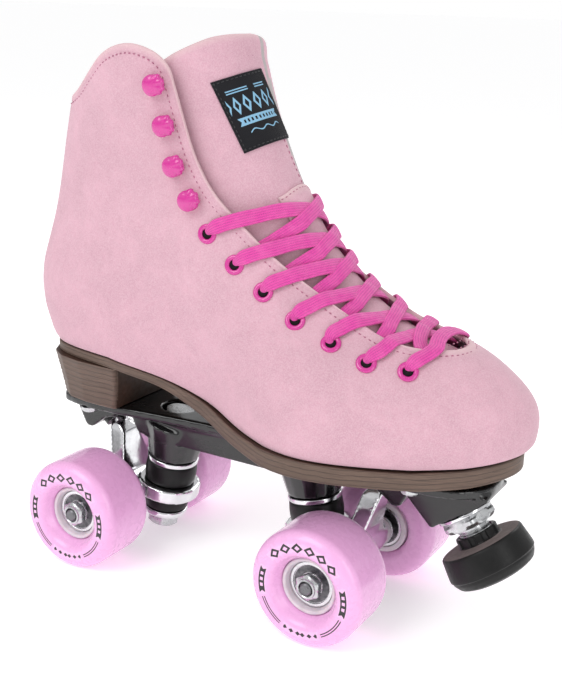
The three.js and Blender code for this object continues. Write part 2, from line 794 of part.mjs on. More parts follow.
function hub() {
  const seat = BEARING_OUTSIDE / 2 + GAP;
  const lip = seat - 1.8;
  const corners = [
    [seat, STACK_OUT - STACK_WIDTH - 0.5],
    [HUB_RADIUS, STACK_OUT - STACK_WIDTH - 0.5],
    [HUB_RADIUS, HALF_WIDTH - 6.5],
    [seat + 0.8, HALF_WIDTH - 6.5],
    [seat, STACK_OUT + 0.6],
    [seat, STACK_OUT - BEARING_WIDTH - GAP],
    [lip, STACK_OUT - BEARING_WIDTH - GAP],
    [lip, STACK_OUT - STACK_WIDTH + BEARING_WIDTH + GAP],
    [seat, STACK_OUT - STACK_WIDTH + BEARING_WIDTH + GAP],
  ];
  return solid(turned(corners, 14));
}

function bearing(outerFace) {
  const inner = outerFace - BEARING_WIDTH;
  const outside = BEARING_OUTSIDE / 2;
  const bore = BEARING_BORE / 2;
  const corners = [[bore, inner], [outside, inner], [outside, outerFace], [bore, outerFace]];
  return solid(turned(corners, 14));
}

function axleNut() {
  const start = new THREE.Vector3(0, STACK_OUT + GAP, 0);
  const nut = solid(hexagon(11.5, NUT_HEIGHT).translate(0, start.y, 0));
  const bore = rod(BEARING_BORE / 2, new THREE.Vector3(0, -20, 0), ALONG_Y, 60, 12);
  return nut.subtract(solid(bore));
}

// ---- Plate ----------------------------------------------------------------------------------------
const PLATE_BACK = PLATE_FRONT - PLATE_LENGTH;
const DECK_UNDER = PLATE_TOP - DECK_THICKNESS;
const BEAM_UNDER = SOLE_REST - 17;
const STOP_AXIS = new THREE.Vector3(Math.sin(STOP_LEAN), 0, -Math.cos(STOP_LEAN)); // down and forward
const STOP_SEAT = new THREE.Vector3(121.6, 0, 61.4); // middle of the face that the stop's washer bears on
const STEM_RADIUS = 7.9;
const STEM_IN = 12.5; // length of stem inside the plate

const HALF_BASE = WHEELBASE / 2;
const DECK_HALF_PLAN = [
  [PLATE_BACK, -13],
  [PLATE_BACK + 5, -19],
  [PLATE_BACK + 30, -22],
  [-30, -17],
  [0, -15],
  [35, -18],
  [90, -25],
  [122, -22],
  [PLATE_FRONT - 3, -12],
  [PLATE_FRONT, -4],
];
const BEAM_SIDE_VIEW = [
  [-HALF_BASE + 6, DECK_UNDER + 1],
  [-HALF_BASE + 12, BEAM_UNDER + 2],
  [-HALF_BASE + 20, BEAM_UNDER],
  [HALF_BASE - 20, BEAM_UNDER],
  [HALF_BASE - 12, BEAM_UNDER + 2],
  [HALF_BASE - 6, DECK_UNDER + 1],
];
const PIVOT_HOUSING_SIDE_VIEW = [
  [HALF_BASE + 3, DECK_UNDER + 1],
  [HALF_BASE + 5, 68],
  [HALF_BASE + 12, 66],
  [HALF_BASE + 21, 59],
  [HALF_BASE + 25, 59.5],
  [HALF_BASE + 33, DECK_UNDER + 1],
];
const BEAM_HALF_WIDTH = 13.5;
const HOUSING_HALF_WIDTH = 11;
const BOSS_HEIGHT = 20;

// A point on the flat face that the toe stop's washer bears on, along its side view line.
function stopFace(forward) {
  const along = new THREE.Vector3(-STOP_AXIS.z, 0, STOP_AXIS.x);
  const p = STOP_SEAT.clone().addScaledVector(along, forward);
  return [p.x, p.z];
}

const STOP_BLOCK_SIDE_VIEW = [
  [HALF_BASE + 20, DECK_UNDER + 1],
  [HALF_BASE + 30, DECK_UNDER - 8],
  stopFace(-13),
  stopFace(13),
  [PLATE_FRONT, DECK_UNDER - 1],
  [PLATE_FRONT, DECK_UNDER + 1],
];

function plate() {
  const halfPlan = smooth(DECK_HALF_PLAN, 20);
  const plan = [...halfPlan, ...halfPlan.map(([x, y]) => [x, -y]).reverse()];
  const deck = upward(plan.map(([x, y]) => new THREE.Vector2(x, y)), DECK_UNDER, PLATE_TOP);
  const beam = across(BEAM_SIDE_VIEW, -BEAM_HALF_WIDTH, BEAM_HALF_WIDTH);
  const stopBlock = across(STOP_BLOCK_SIDE_VIEW, -BEAM_HALF_WIDTH, BEAM_HALF_WIDTH);
  const underTop = [[-FAR, 0], [FAR, 0], [FAR, PLATE_TOP], [-FAR, PLATE_TOP]];
  const limit = solid(across(underTop, -FAR, FAR));
  let body = joined([deck, beam, stopBlock].map(solid));
  const cupDepth = PIVOT_LENGTH - 5 + 2 + 2 * GAP; // past the pivot point to the cup's closed end
  for (const turn of [0, Math.PI]) {
    const placed = (geometry) => solid(geometry.translate(HALF_BASE, 0, 0).rotateZ(turn));
    const bossCorners = [[0, 0], [13.6, 0], [17.5, BOSS_HEIGHT], [0, BOSS_HEIGHT]];
    const boss = aimed(turned(bossCorners, 16), onKingpin(BOSS_FACE), kingpinUp);
    const housing = across(PIVOT_HOUSING_SIDE_VIEW, -HOUSING_HALF_WIDTH, HOUSING_HALF_WIDTH);
    const cupMouth = PIVOT.clone().addScaledVector(steerAxis, -16);
    const cupRadius = PIVOT_RADIUS + CUP_WALL + 2 * GAP;
    body = body
      .add(placed(boss).intersect(limit))
      .add(solid(housing.rotateZ(turn)))
      .subtract(placed(rod(KINGPIN_RADIUS + GAP, onKingpin(0), kingpinUp, 80)))
      .subtract(placed(rod(10, onKingpin(KINGPIN_HEAD_SEAT - GAP), kingpinUp, 30)))
      .subtract(placed(rod(cupRadius, cupMouth, steerAxis, 16 + cupDepth)));
  }
  const stemTop = stopPoint(-STEM_IN - 7);
  body = body.subtract(solid(rod(STEM_RADIUS + GAP, stemTop, STOP_AXIS, 60, 20)));
  for (const [x, y] of BOLT_SPOTS) {
    for (const side of [y, -y]) {
      body = body.subtract(boltHole(x, side, 40));
    }
  }
  return body;
}

// ---- Mounting bolts: pan heads under the deck, shanks up into the heel and the sole ---------------
const BOLT_RADIUS = 2.4;
const BOLT_HEAD_RADIUS = 4.6;
const BOLT_HEAD = 2.6;
const BOLT_SPOTS = [
  [-86, 17.2],
  [102, 18.5],
];

function boltAt(x, y) {
  const headTop = DECK_UNDER - GAP;
  const reach = x < 0 ? 18 : SOLE_REST + 6 - headTop;
  const corners = [
    [0, -BOLT_HEAD],
    [BOLT_HEAD_RADIUS - 1, -BOLT_HEAD],
    [BOLT_HEAD_RADIUS, -BOLT_HEAD + 1],
    [BOLT_HEAD_RADIUS, 0],
    [BOLT_RADIUS, 0],
    [BOLT_RADIUS, reach],
    [0, reach],
  ];
  return solid(aimed(turned(corners, 10), new THREE.Vector3(x, y, headTop), UP));
}

function boltHole(x, y, length) {
  return solid(rod(BOLT_RADIUS + GAP, new THREE.Vector3(x, y, 60), UP, length, 8));
}

// The body with the pair of bolt holes at one of the bolt spots, up to a depth above the deck.
function drilled(body, [x, y], depth) {
  const length = SOLE_REST - 60 + depth;
  return body.subtract(boltHole(x, y, length)).subtract(boltHole(x, -y, length));
}

// ---- Toe stop -------------------------------------------------------------------------------------
const STOP_WASHER = 1.5;
const STOP_NUT = 5;
const PAD_NECK_RADIUS = 10.5;
const PAD_NECK = 5;
const NECK_START = 11; // seat to the top of the pad's neck
const PAD_HEIGHT = 18;
const stopPoint = (out) => STOP_SEAT.clone().addScaledVector(STOP_AXIS, out);

function toeStopPad() {
  const r = STOP_PAD_DIAMETER / 2;
  const corners = [
    [0, 2],
    [STEM_RADIUS + GAP, 2],
    [STEM_RADIUS + GAP, 0],
    [PAD_NECK_RADIUS, 0],
    [PAD_NECK_RADIUS, PAD_NECK],
    [r - 3, PAD_NECK],
    [r - 1.2, PAD_NECK + 1.2],
    [r, PAD_NECK + 11],
    [r - 0.6, PAD_NECK + 14.5],
    [r - 4, PAD_NECK + PAD_HEIGHT - 0.6],
    [r - 9, PAD_NECK + PAD_HEIGHT],
    [0, PAD_NECK + PAD_HEIGHT],
  ];
  return solid(aimed(turned(corners, 20), stopPoint(NECK_START), STOP_AXIS));
}

function toeStopStem() {
  const start = -STEM_IN;
  const end = NECK_START + 2 - GAP;
  return solid(rod(STEM_RADIUS, stopPoint(start), STOP_AXIS, end - start, 20));
}

function toeStopNut() {
  const bore = solid(rod(STEM_RADIUS + GAP, stopPoint(-10), STOP_AXIS, 40, 20));
  const body = solid(aimed(hexagon(25, STOP_NUT), stopPoint(STOP_WASHER + 2 * GAP), STOP_AXIS));
  return body.subtract(bore);
}

function toeStopWasher() {
  const inner = STEM_RADIUS + GAP;
  const ring = [[inner, 0], [13.4, 0], [13.4, STOP_WASHER], [inner, STOP_WASHER]];
  return solid(aimed(turned(ring, 24), stopPoint(GAP), STOP_AXIS));
}

// ---- The lace -----------------------------------------------------------------------------------
const CROWN = 0.8; // how far a flat lace stands off a surface that curves away under it
const LACE_OVER = LACE_THICKNESS / 2 + FLANGE_HEIGHT + 2 * GAP + CROWN / 2; // middle, above a flap
const LACE_UNDER = -(STAY_DEPTH + STAY_THICKNESS + LACE_ROOM / 2); // middle, below a stay
const LACE_RESTING = -TONGUE_DEPTH + GAP + CROWN + LACE_THICKNESS / 2; // middle, on the tongue
const LACE_RISE = 9; // how much higher a crossing lies than its two eyelets
const EDGE_ROOM = 0.05; // share of a crossing that clears the edge of a flap

// Whether a side view point lies in the opening between the flaps.
function isOpen(x, z) {
  const after = FLAP_EDGE.findIndex(([edgeX]) => edgeX > x);
  if (after < 1) {
    return false;
  }
  const [x0, z0] = FLAP_EDGE[after - 1];
  const [x1, z1] = FLAP_EDGE[after];
  return z > z0 + ((z1 - z0) * (x - x0)) / (x1 - x0);
}

// A stretch of lace between two eyelets: its places at shares of the way across, each with a lift.
function laceStretch(from, to) {
  return ([share, lift]) => {
    const z = from.z + (to.z - from.z) * share + LACE_RISE * Math.sin(Math.PI * share);
    return { round: from.round + (to.round - from.round) * share, level: levelAt(z), lift };
  };
}

// A stretch of lace through the stated [share, lift] corners, with one more place between each two.
function laceRoute(place, corners) {
  const places = [place(corners[0])];
  for (let i = 1; i < corners.length; i++) {
    for (const t of [0.5, 1]) {
      const mix = (j) => corners[i - 1][j] + (corners[i][j] - corners[i - 1][j]) * t;
      places.push(place([mix(0), mix(1)]));
    }
  }
  return ribbon(places, LACE_WIDTH, LACE_THICKNESS);
}

// The lace leaves one eyelet over its flap, rests on the tongue and dives under the other flap. Of two
// that cross, the high one lies on top.
function crossing(from, to, high) {
  const place = laceStretch(from, to);
  const steps = 50;
  const open = [];
  for (let i = 0; i <= steps; i++) {
    const { round, level } = place([i / steps, 0]);
    const { point } = onLast(round, level);
    if (isOpen(point.x, point.z)) {
      open.push(i / steps);
    }
  }
  const leave = open[0] + EDGE_ROOM;
  const dive = open.at(-1) - EDGE_ROOM;
  const top = LACE_RESTING + (high ? LACE_THICKNESS : 0);
  return laceRoute(place, [
    [0, LACE_OVER],
    [leave, LACE_OVER],
    [(leave + dive) / 2, top],
    [dive, LACE_RESTING],
    [Math.min(1, dive + 3 * EDGE_ROOM), LACE_UNDER],
    [1, LACE_UNDER],
  ]);
}

// A stretch that lies over both flaps, where they all but meet.
function bar(from, to, high) {
  const top = LACE_OVER + (high ? LACE_THICKNESS : 0);
  return laceRoute(laceStretch(from, to), [
    [0, LACE_OVER],
    [0.5, top],
    [1, LACE_OVER],
  ]);
}

function lace() {
  const right = eyeletsOn(-1);
  const left = eyeletsOn(1);
  const parts = [bar(right.at(-1), left.at(-1), false)];
  for (let i = 0; i < LACE_PAIRS - 1; i++) {
    const stretch = i < LACE_PAIRS - 2 ? crossing : bar;
    parts.push(stretch(right[i], left[i + 1], false), stretch(left[i], right[i + 1], true));
  }
  for (const eyelet of [...right, ...left]) {
    parts.push(through(eyelet, EYELET_HOLE - GAP, -LACE_UNDER, LACE_OVER, 6));
  }
  return largest(joined(parts));
}

// ---- Assembly -------------------------------------------------------------------------------------
const skate = new THREE.Group();
const add = (parent, name, body, look) => parent.add(piece(name, geometryOf(body), look));

add(skate, "boot_upper", bootUpper(), SUEDE);
add(skate, "boot_lining", bootLining(), LINING);
add(skate, "tongue", tongue(), SUEDE);
add(skate, "tongue_label", tongueLabel(), LABEL);
add(skate, "insole", insole(), INSOLE_BOARD);
add(skate, "back_stay", backStay(), LINING);
add(skate, "lace", lace(), LACE);
for (const [name, side] of SIDES) {
  add(skate, `eyelets_${name}`, eyeletRow(side), ENAMEL);
  add(skate, `hooks_${name}`, hookRow(side), ENAMEL);
}
add(skate, "outsole", drilled(outsole(), BOLT_SPOTS[1], 7), STACKED_LEATHER);
add(skate, "heel_block", drilled(heelBlock(), BOLT_SPOTS[0], 15), STACKED_LEATHER);
add(skate, "plate", plate(), NYLON);
for (const [x, y] of BOLT_SPOTS) {
  const end = x < 0 ? "rear" : "front";
  add(skate, `mount_bolt_${end}_left`, boltAt(x, y), ZINC);
  add(skate, `mount_bolt_${end}_right`, boltAt(x, -y), ZINC);
}
add(skate, "toe_stop_pad", toeStopPad(), STOP_RUBBER);
add(skate, "toe_stop_stem", toeStopStem(), ZINC);
add(skate, "toe_stop_nut", toeStopNut(), ZINC);
add(skate, "toe_stop_washer", toeStopWasher(), ZINC);

const cushion = CUSHION_DIAMETER / 2;
for (const [end, turn] of [["front", 0], ["rear", Math.PI]]) {
  const truck = new THREE.Group();
  truck.rotation.z = turn;
  const inner = new THREE.Group();
  inner.position.x = WHEELBASE / 2;
  truck.add(inner);
  add(inner, `hanger_${end}`, hanger(), CHROME);
  add(inner, `axle_${end}`, axle(), ZINC);
  add(inner, `kingpin_${end}`, kingpin(), ZINC);
  add(inner, `kingpin_nut_${end}`, kingpinNut(), ZINC);
  const half = RING_THICKNESS / 2 + GAP;
  const stack = [
    ["upper_cushion", cushion, half, half + UPPER_CUSHION, 0.5, CUSHION_RUBBER],
    ["lower_cushion", cushion - 1.5, -half - LOWER_CUSHION, -half, 0.4, CUSHION_RUBBER],
    ["upper_retainer", cushion + 0.4, WASHER_BASE, WASHER_BASE + WASHER_THICKNESS, 0, CHROME],
    ["lower_retainer", cushion - 1, CUP_TOP - CUP_THICKNESS, CUP_TOP, 0, CHROME],
  ];
  for (const [name, radius, from, to, bulge, look] of stack) {
    add(inner, `${name}_${end}`, solid(collar(radius, from, to, bulge)), look);
  }
  add(inner, `pivot_cup_${end}`, pivotCup(), CUSHION_RUBBER);
  for (const outward of [1, -1]) {
    const wheel = new THREE.Group();
    wheel.rotation.z = outward > 0 ? 0 : Math.PI;
    wheel.position.set(0, outward * HALF_TRACK, AXLE_HEIGHT);
    inner.add(wheel);
    const side = (outward > 0) === (turn === 0) ? "left" : "right";
    const tag = `${end}_${side}`;
    add(wheel, `tyre_${tag}`, tyre(), URETHANE);
    add(wheel, `hub_${tag}`, hub(), HUB_NYLON);
    add(wheel, `outer_bearing_${tag}`, bearing(STACK_OUT), BEARING_STEEL);
    add(wheel, `inner_bearing_${tag}`, bearing(STACK_OUT - STACK_WIDTH + BEARING_WIDTH), BEARING_STEEL);
    add(wheel, `axle_nut_${tag}`, axleNut(), ZINC);
  }
  skate.add(truck);
}

// The origin lies on the ground under the middle of the skate's box.
skate.updateMatrixWorld(true);
const box = new THREE.Box3().setFromObject(skate, true);
const middle = box.getCenter(new THREE.Vector3());
const root = new THREE.Group();
skate.position.set(-middle.x, -middle.y, -box.min.z);
root.add(skate);

export default root;
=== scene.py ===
import math

import bpy
import numpy as np
from mathutils import Matrix, Vector


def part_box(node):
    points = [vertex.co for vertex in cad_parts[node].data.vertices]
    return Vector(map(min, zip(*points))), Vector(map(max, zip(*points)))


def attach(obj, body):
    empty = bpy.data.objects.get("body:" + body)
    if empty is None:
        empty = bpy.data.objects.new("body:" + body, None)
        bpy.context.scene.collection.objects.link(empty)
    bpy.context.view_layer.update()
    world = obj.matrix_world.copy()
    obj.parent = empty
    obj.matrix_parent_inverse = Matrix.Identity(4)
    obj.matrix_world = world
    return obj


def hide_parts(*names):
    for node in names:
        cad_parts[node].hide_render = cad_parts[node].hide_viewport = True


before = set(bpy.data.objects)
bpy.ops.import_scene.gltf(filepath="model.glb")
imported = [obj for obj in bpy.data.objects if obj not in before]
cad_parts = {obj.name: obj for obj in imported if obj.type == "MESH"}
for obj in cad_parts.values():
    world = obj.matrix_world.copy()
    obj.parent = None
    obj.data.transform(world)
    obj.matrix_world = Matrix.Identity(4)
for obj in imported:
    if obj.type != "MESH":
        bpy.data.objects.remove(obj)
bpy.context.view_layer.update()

bl_info = {
    "name": "Quad roller skate",
    "version": (1, 0, 0),
    "blender": (4, 5, 0),
    "location": "View3D > Sidebar > Skate",
    "description": "Dresses the packed frame of a laced suede quad skate",
    "category": "Object",
}

# Working sizes are millimetres from the ground under the middle of the wheelbase, as in the part's source.
# X points to the toe, Y to the wearer's left, Z up.


def node_middle(node):
    low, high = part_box(node)
    return np.array((low + high) / 2) * 1000


AXLES_MIDDLE = (node_middle("tyre_front_right") + node_middle("tyre_rear_right")) / 2
TO_FRAME = np.array([AXLES_MIDDLE[0], 0, 0])
HALF_BASE = node_middle("tyre_front_right")[0] - TO_FRAME[0]
AXLE_HEIGHT = node_middle("tyre_front_right")[2]


def in_metres(points):
    """Working places as places in the scene."""
    return (np.asarray(points, float) + TO_FRAME) / 1000


def unit(vectors):
    return vectors / np.linalg.norm(vectors, axis=-1, keepdims=True)


# ---- The last: the boot's outer surface ---------------------------------------------------------
# Height, back end, front end and half widths at the heel, waist, ball and toe.
STATIONS = np.array([
    (84, -109, 144, 29, 30, 49.5, 34), (100, -111, 149.5, 31, 32.5, 51.5, 39),
    (116, -116.5, 147.5, 33.2, 35.5, 50, 36.5), (127, -120, 138, 33.5, 36.5, 47, 32),
    (134, -121, 128, 33, 36.5, 44.5, 29), (139, -121, 117, 33, 36.5, 42.5, 27),
    (144, -120.5, 101, 32.5, 36, 40.5, 27), (151, -119.5, 85, 31.5, 35.5, 39, 28),
    (160, -117, 70, 30, 34.5, 37.5, 27.5), (176, -112, 54.5, 28.6, 32.8, 35, 25.8),
    (205, -104, 33, 28, 33, 34.5, 26), (228, -98.5, 21, 29, 35, 35.5, 27),
    (255, -91, 11, 31, 37.5, 37, 28), (285, -83, 3, 32, 39, 38.5, 29),
], float)
# Share of the length, which girth, share of that girth.
GIRTH_SPOTS = [(.035, 0, .62), (.2, 0, 1), (.42, 1, 1), (.66, 2, 1), (.86, 3, 1), (.97, 3, .52)]
ROUND = 28  # once round the last, from 0 at the back seam
RIDGE = 14  # the middle of the front
FINE = 16  # samples between two places


def girth_points(station):
    """Control points of the last's outline at one height, from the back seam round by the right."""
    z, back, front, *girths = station
    length = front - back
    foot = min(1, max(0, (150 - z) / 40))

    def spot(share, width, side):
        x = back + share * length
        lean = max(0, (x - 20) / 130)
        return (x, side * width + 6 * foot * lean * lean)

    def half(side):
        spots = []
        for share, girth, part in GIRTH_SPOTS:
            arch = 1 - 0.12 * foot if side > 0 and girth == 1 else 1
            spots.append(spot(share, girths[girth] * part * arch, side))
        return spots

    return np.array([spot(0, 0, 1)] + half(-1) + [spot(1, 0, 1)] + half(1)[::-1])


def closed_curve(control, t):
    """A closed centripetal curve through control points, at shares t of its round."""
    count = len(control)
    p = t * count
    i = np.floor(p).astype(int)
    w = (p - i)[:, None]
    near = [control[(i + k) % count] for k in (-1, 0, 1, 2)]
    gap = [np.maximum(((near[k + 1] - near[k]) ** 2).sum(1) ** .25, 1e-4)[:, None] for k in range(3)]
    start = ((near[1] - near[0]) / gap[0] - (near[2] - near[0]) / (gap[0] + gap[1])
             + (near[2] - near[1]) / gap[1]) * gap[1]
    end = ((near[2] - near[1]) / gap[1] - (near[3] - near[1]) / (gap[1] + gap[2])
           + (near[3] - near[2]) / gap[2]) * gap[1]
    return (near[1] + start * w + (-3 * near[1] + 3 * near[2] - 2 * start - end) * w ** 2
            + (2 * near[1] - 2 * near[2] + start + end) * w ** 3)


LEVELS = STATIONS[:, 0]
SAMPLES = np.arange(ROUND * FINE) / (ROUND * FINE)
RINGS = np.array([closed_curve(girth_points(station), SAMPLES) for station in STATIONS])
_steps = np.diff(LEVELS)[:, None, None]
_rise = np.diff(RINGS, axis=0) / _steps
SLOPES = np.empty_like(RINGS)
SLOPES[1:-1] = (_rise[:-1] * _steps[1:] + _rise[1:] * _steps[:-1]) / (_steps[1:] + _steps[:-1])
SLOPES[0], SLOPES[-1] = _rise[0], _rise[-1]


def on_last(u, z):
    """The point of the last at a place round it and a height."""
    u, z = np.broadcast_arrays(np.asarray(u, float), np.asarray(z, float))
    q = (u % ROUND) * FINE
    a = np.floor(q).astype(int) % (ROUND * FINE)
    b = (a + 1) % (ROUND * FINE)
    w = (q - np.floor(q))[..., None]
    low = np.clip(np.searchsorted(LEVELS, z) - 1, 0, len(LEVELS) - 2)
    step = (LEVELS[low + 1] - LEVELS[low])[..., None]
    s = (z - LEVELS[low])[..., None] / step

    def row(grid, level):
        return grid[level, a] * (1 - w) + grid[level, b] * w

    p0, p1 = row(RINGS, low), row(RINGS, low + 1)
    m0, m1 = row(SLOPES, low) * step, row(SLOPES, low + 1) * step
    xy = ((2 * s ** 3 - 3 * s ** 2 + 1) * p0 + (s ** 3 - 2 * s ** 2 + s) * m0
          + (-2 * s ** 3 + 3 * s ** 2) * p1 + (s ** 3 - s ** 2) * m1)
    return np.concatenate([xy, z[..., None]], -1)


def slopes_at(u, z):
    """How the last's point moves with the place round it and with the height."""
    u, z = np.asarray(u, float), np.asarray(z, float)
    du = (on_last(u + .05, z) - on_last(u - .05, z)) / .1
    dz = (on_last(u, z + .3) - on_last(u, z - .3)) / .6
    return du, dz


def outward(u, z):
    du, dz = slopes_at(u, z)
    return unit(np.cross(du, dz))


def lifted(u, z, lift=0.0):
    """A point off the last by a lift along its normal; inside where the lift is negative."""
    return on_last(u, z) + outward(u, z) * np.asarray(lift, float)[..., None]


def seam_at(u, z, lift):
    """Points of a seam and their facing."""
    return lifted(u, z, lift), outward(u, z)


def settle(u, z, target, lift=0.0, rounds=8):
    """The place round and height whose lifted point lies nearest to a target."""
    u, z = np.array(u, float), np.array(z, float)
    for _ in range(rounds):
        du, dz = slopes_at(u, z)
        r = target - lifted(u, z, lift)
        a, b, c = (du * du).sum(-1), (du * dz).sum(-1), (dz * dz).sum(-1)
        ru, rz = (r * du).sum(-1), (r * dz).sum(-1)
        det = a * c - b * b
        u += np.clip((c * ru - b * rz) / det, -1, 1)
        z += np.clip((a * rz - b * ru) / det, -10, 10)
    return u, z


def along(points):
    """Length travelled at each point of a line."""
    step = np.linalg.norm(np.diff(points, axis=0), axis=1)
    return np.concatenate([[0], np.cumsum(step)])


def evenly(points, count):
    """A line's points, spaced evenly along it."""
    s = along(points)
    even = np.linspace(0, s[-1], count)
    return np.stack([np.interp(even, s, column) for column in points.T], 1)


def smooth_line(corners, count):
    """A soft curve through corners, evenly spaced."""
    p = np.asarray(corners, float)
    ext = np.vstack([2 * p[0] - p[1], p, 2 * p[-1] - p[-2]])
    out = []
    for i in range(1, len(ext) - 2):
        a, b, c, d = ext[i - 1:i + 3]
        for t in np.linspace(0, 1, 24, endpoint=False):
            out.append(.5 * (2 * b + (c - a) * t + (2 * a - 5 * b + 4 * c - d) * t ** 2
                             + (3 * b - a - 3 * c + d) * t ** 3))
    out = np.array(out + [p[-1]])
    return evenly(out, count)


def round_at(x, z, side):
    """The place round the last of points seen at (x, z) from one side."""
    x, z = np.asarray(x, float), np.asarray(z, float)
    near, far = np.zeros_like(x), np.full_like(x, RIDGE)
    for _ in range(30):
        half = (near + far) / 2
        seen = on_last(half if side < 0 else ROUND - half, z)[..., 0]
        near, far = np.where(seen < x, half, near), np.where(seen < x, far, half)
    return near if side < 0 else ROUND - near


# ---- Side view lines ----------------------------------------------------------------------------
SOLE_TOP = np.vstack([[[-400, 108]],
                      smooth_line([(-62, 108), (-30, 104), (-4, 97.5), (18, 90), (38, 87.5)], 40),
                      [[108, 87.5], [128, 89.6], [150, 93.5], [400, 93.5]]])
SOLE_UNDER = np.vstack([[[-400, 103]],
                        smooth_line([(-57, 103), (-30, 99.5), (-6, 91), (15, 83), (38, 79)], 40),
                        [[112, 79], [130, 81.1], [150, 85], [400, 85]]])
COLLAR = [(-110, 233), (-96, 235.5), (-84, 240), (-72, 249.5), (-61, 258), (-50, 262.5), (-39, 263.5),
          (-28, 260.5), (-21, 254.5)]
FLAP_EDGE = [(-18, 246), (-12, 226), (-7, 213), (1, 200), (12, 189), (26, 177), (40, 167), (55, 158),
             (70, 150), (84, 143.5), (97, 140.6), (113, 139.4)]
EYELET_SPOTS = [(0, 180.5), (15, 168), (30.5, 157.5), (47.5, 147), (66, 139.5), (83.5, 133.5), (101, 131.5)]
HOOK_SPOTS = [(-27, 246), (-22.5, 228), (-17.5, 210), (-9.5, 195)]
TONGUE_TOP = [(-38, 249), (-27, 256.5), (-16, 263), (-8, 268), (-2.5, 270.5), (1.5, 271)]
FAR_DROP = (2, 3, 4, 4, 2, 0)  # how much lower the far half of the tongue's top lies
TONGUE_FACE = -6.3  # the tongue's front lies this far inside the last
SIDES = (-1, 1)  # right, left
EDGE_INSET = 4.4  # from an edge of the upper to its seam
STITCH_SINK = -.06  # a stitch lies this far in


def height_on(line, x):
    return np.interp(x, line[:, 0], line[:, 1])


def edge_path(line, side, count):
    """An edge seen from the side as one path on the last, from the back seam to the front ridge."""
    fine = smooth_line(line, 900)
    back = on_last(np.zeros(len(fine)), fine[:, 1])[:, 0]
    fine = fine[fine[:, 0] > back + .02]
    u = round_at(fine[:, 0], fine[:, 1], side)
    z = fine[:, 1]
    ridge = RIDGE - .02 if side < 0 else RIDGE + .02
    keep = u < ridge if side < 0 else u > ridge
    u, z = u[keep], z[keep]
    u = np.concatenate([[0 if side < 0 else ROUND], u, [RIDGE]])
    z = np.concatenate([[z[0]], z, [z[-1]]])
    s = along(on_last(u, z))
    even = np.linspace(0, s[-1], count)
    return np.interp(even, s, u), np.interp(even, s, z)


def sole_path(side, count, lift):
    """The feather line, where the upper meets the sole, from the back seam to the toe."""
    u = np.linspace(0, RIDGE, 600) if side < 0 else np.linspace(ROUND, RIDGE, 600)
    z = np.full(600, 95.0)
    for _ in range(6):
        z = height_on(SOLE_TOP, on_last(u, z)[:, 0]) + lift
    s = along(on_last(u, z))
    even = np.linspace(0, s[-1], count)
    return np.interp(even, s, u), np.interp(even, s, z)


def whole_round(make, half):
    """Right and left halves of a path joined into one closed round."""
    right, left = make(-1, half + 1), make(1, half + 1)
    return [np.concatenate([r, l[-2:0:-1]]) for r, l in zip(right, left)]


# ---- Meshes -------------------------------------------------------------------------------------
def linked(name, data):
    """A new object in the scene."""
    piece = bpy.data.objects.new(name, data)
    bpy.context.scene.collection.objects.link(piece)
    return piece


def store(mesh, key, numbers):
    """Keeps a number or a vector of each point as an attribute."""
    numbers = np.asarray(numbers, np.float32)
    kind, field = ("FLOAT", "value") if numbers.ndim == 1 else ("FLOAT_VECTOR", "vector")
    mesh.attributes.new(key, kind, "POINT").data.foreach_set(field, numbers.ravel())


def coordinates(mesh):
    flat = np.zeros(len(mesh.vertices) * 3)
    mesh.vertices.foreach_get("co", flat)
    return flat.reshape(-1, 3)


def mesh_piece(name, points, faces, materials, which=None, values=None):
    """A mesh object. which gives each face's material, values the points' attributes by name."""
    mesh = bpy.data.meshes.new(name)
    mesh.from_pydata(in_metres(points).tolist(), [], [list(map(int, f)) for f in faces])
    for material in materials:
        mesh.materials.append(material)
    if which is not None:
        mesh.polygons.foreach_set("material_index", np.asarray(which, np.int32))
    for key, numbers in (values or {}).items():
        store(mesh, key, numbers)
    mesh.polygons.foreach_set("use_smooth", np.full(len(mesh.polygons), True))
    mesh.update()
    return linked(name, mesh)


def crease(piece, degrees=35):
    piece.data.set_sharp_from_angle(angle=math.radians(degrees))
    return piece


def grid_quads(index, wrap=False):
    """The faces between the points of a grid; wrap closes each row on itself."""
    if wrap:
        index = np.hstack([index, index[:, :1]])
    return np.stack([index[:-1, :-1], index[:-1, 1:], index[1:, 1:], index[1:, :-1]], -1).reshape(-1, 4)


def numbered(rows, cols):
    """A grid of point numbers."""
    return np.arange(rows * cols).reshape(rows, cols)


def padded_sheet(name, front, back, materials, wrap=False, values=None):
    """A closed sheet from a front and a back grid that meet at their borders."""
    rows, cols = front.shape[:2]
    face_index = numbered(rows, cols)
    inner = np.zeros((rows, cols), bool)
    inner[1:-1, :] = True
    if not wrap:
        inner[:, 0] = inner[:, -1] = False
    back_index = face_index.copy()
    back_index[inner] = rows * cols + np.arange(inner.sum())
    points = np.vstack([front.reshape(-1, 3), back[inner]])
    faces = np.vstack([grid_quads(face_index, wrap), grid_quads(back_index, wrap)[:, ::-1]])
    full = {}
    for key, grid in (values or {}).items():
        flat = grid.reshape(rows * cols, *grid.shape[2:])
        full[key] = np.concatenate([flat, grid[inner]])
    return outward_facing(mesh_piece(name, points, faces, materials, values=full))


def roll(distance, radius):
    """Half thickness, as a share, of a sheet whose rim is rounded over a radius."""
    d = 1 - np.clip(np.asarray(distance, float) / radius, 0, 1)
    return np.sqrt(np.clip(1 - d * d, 0, 1))


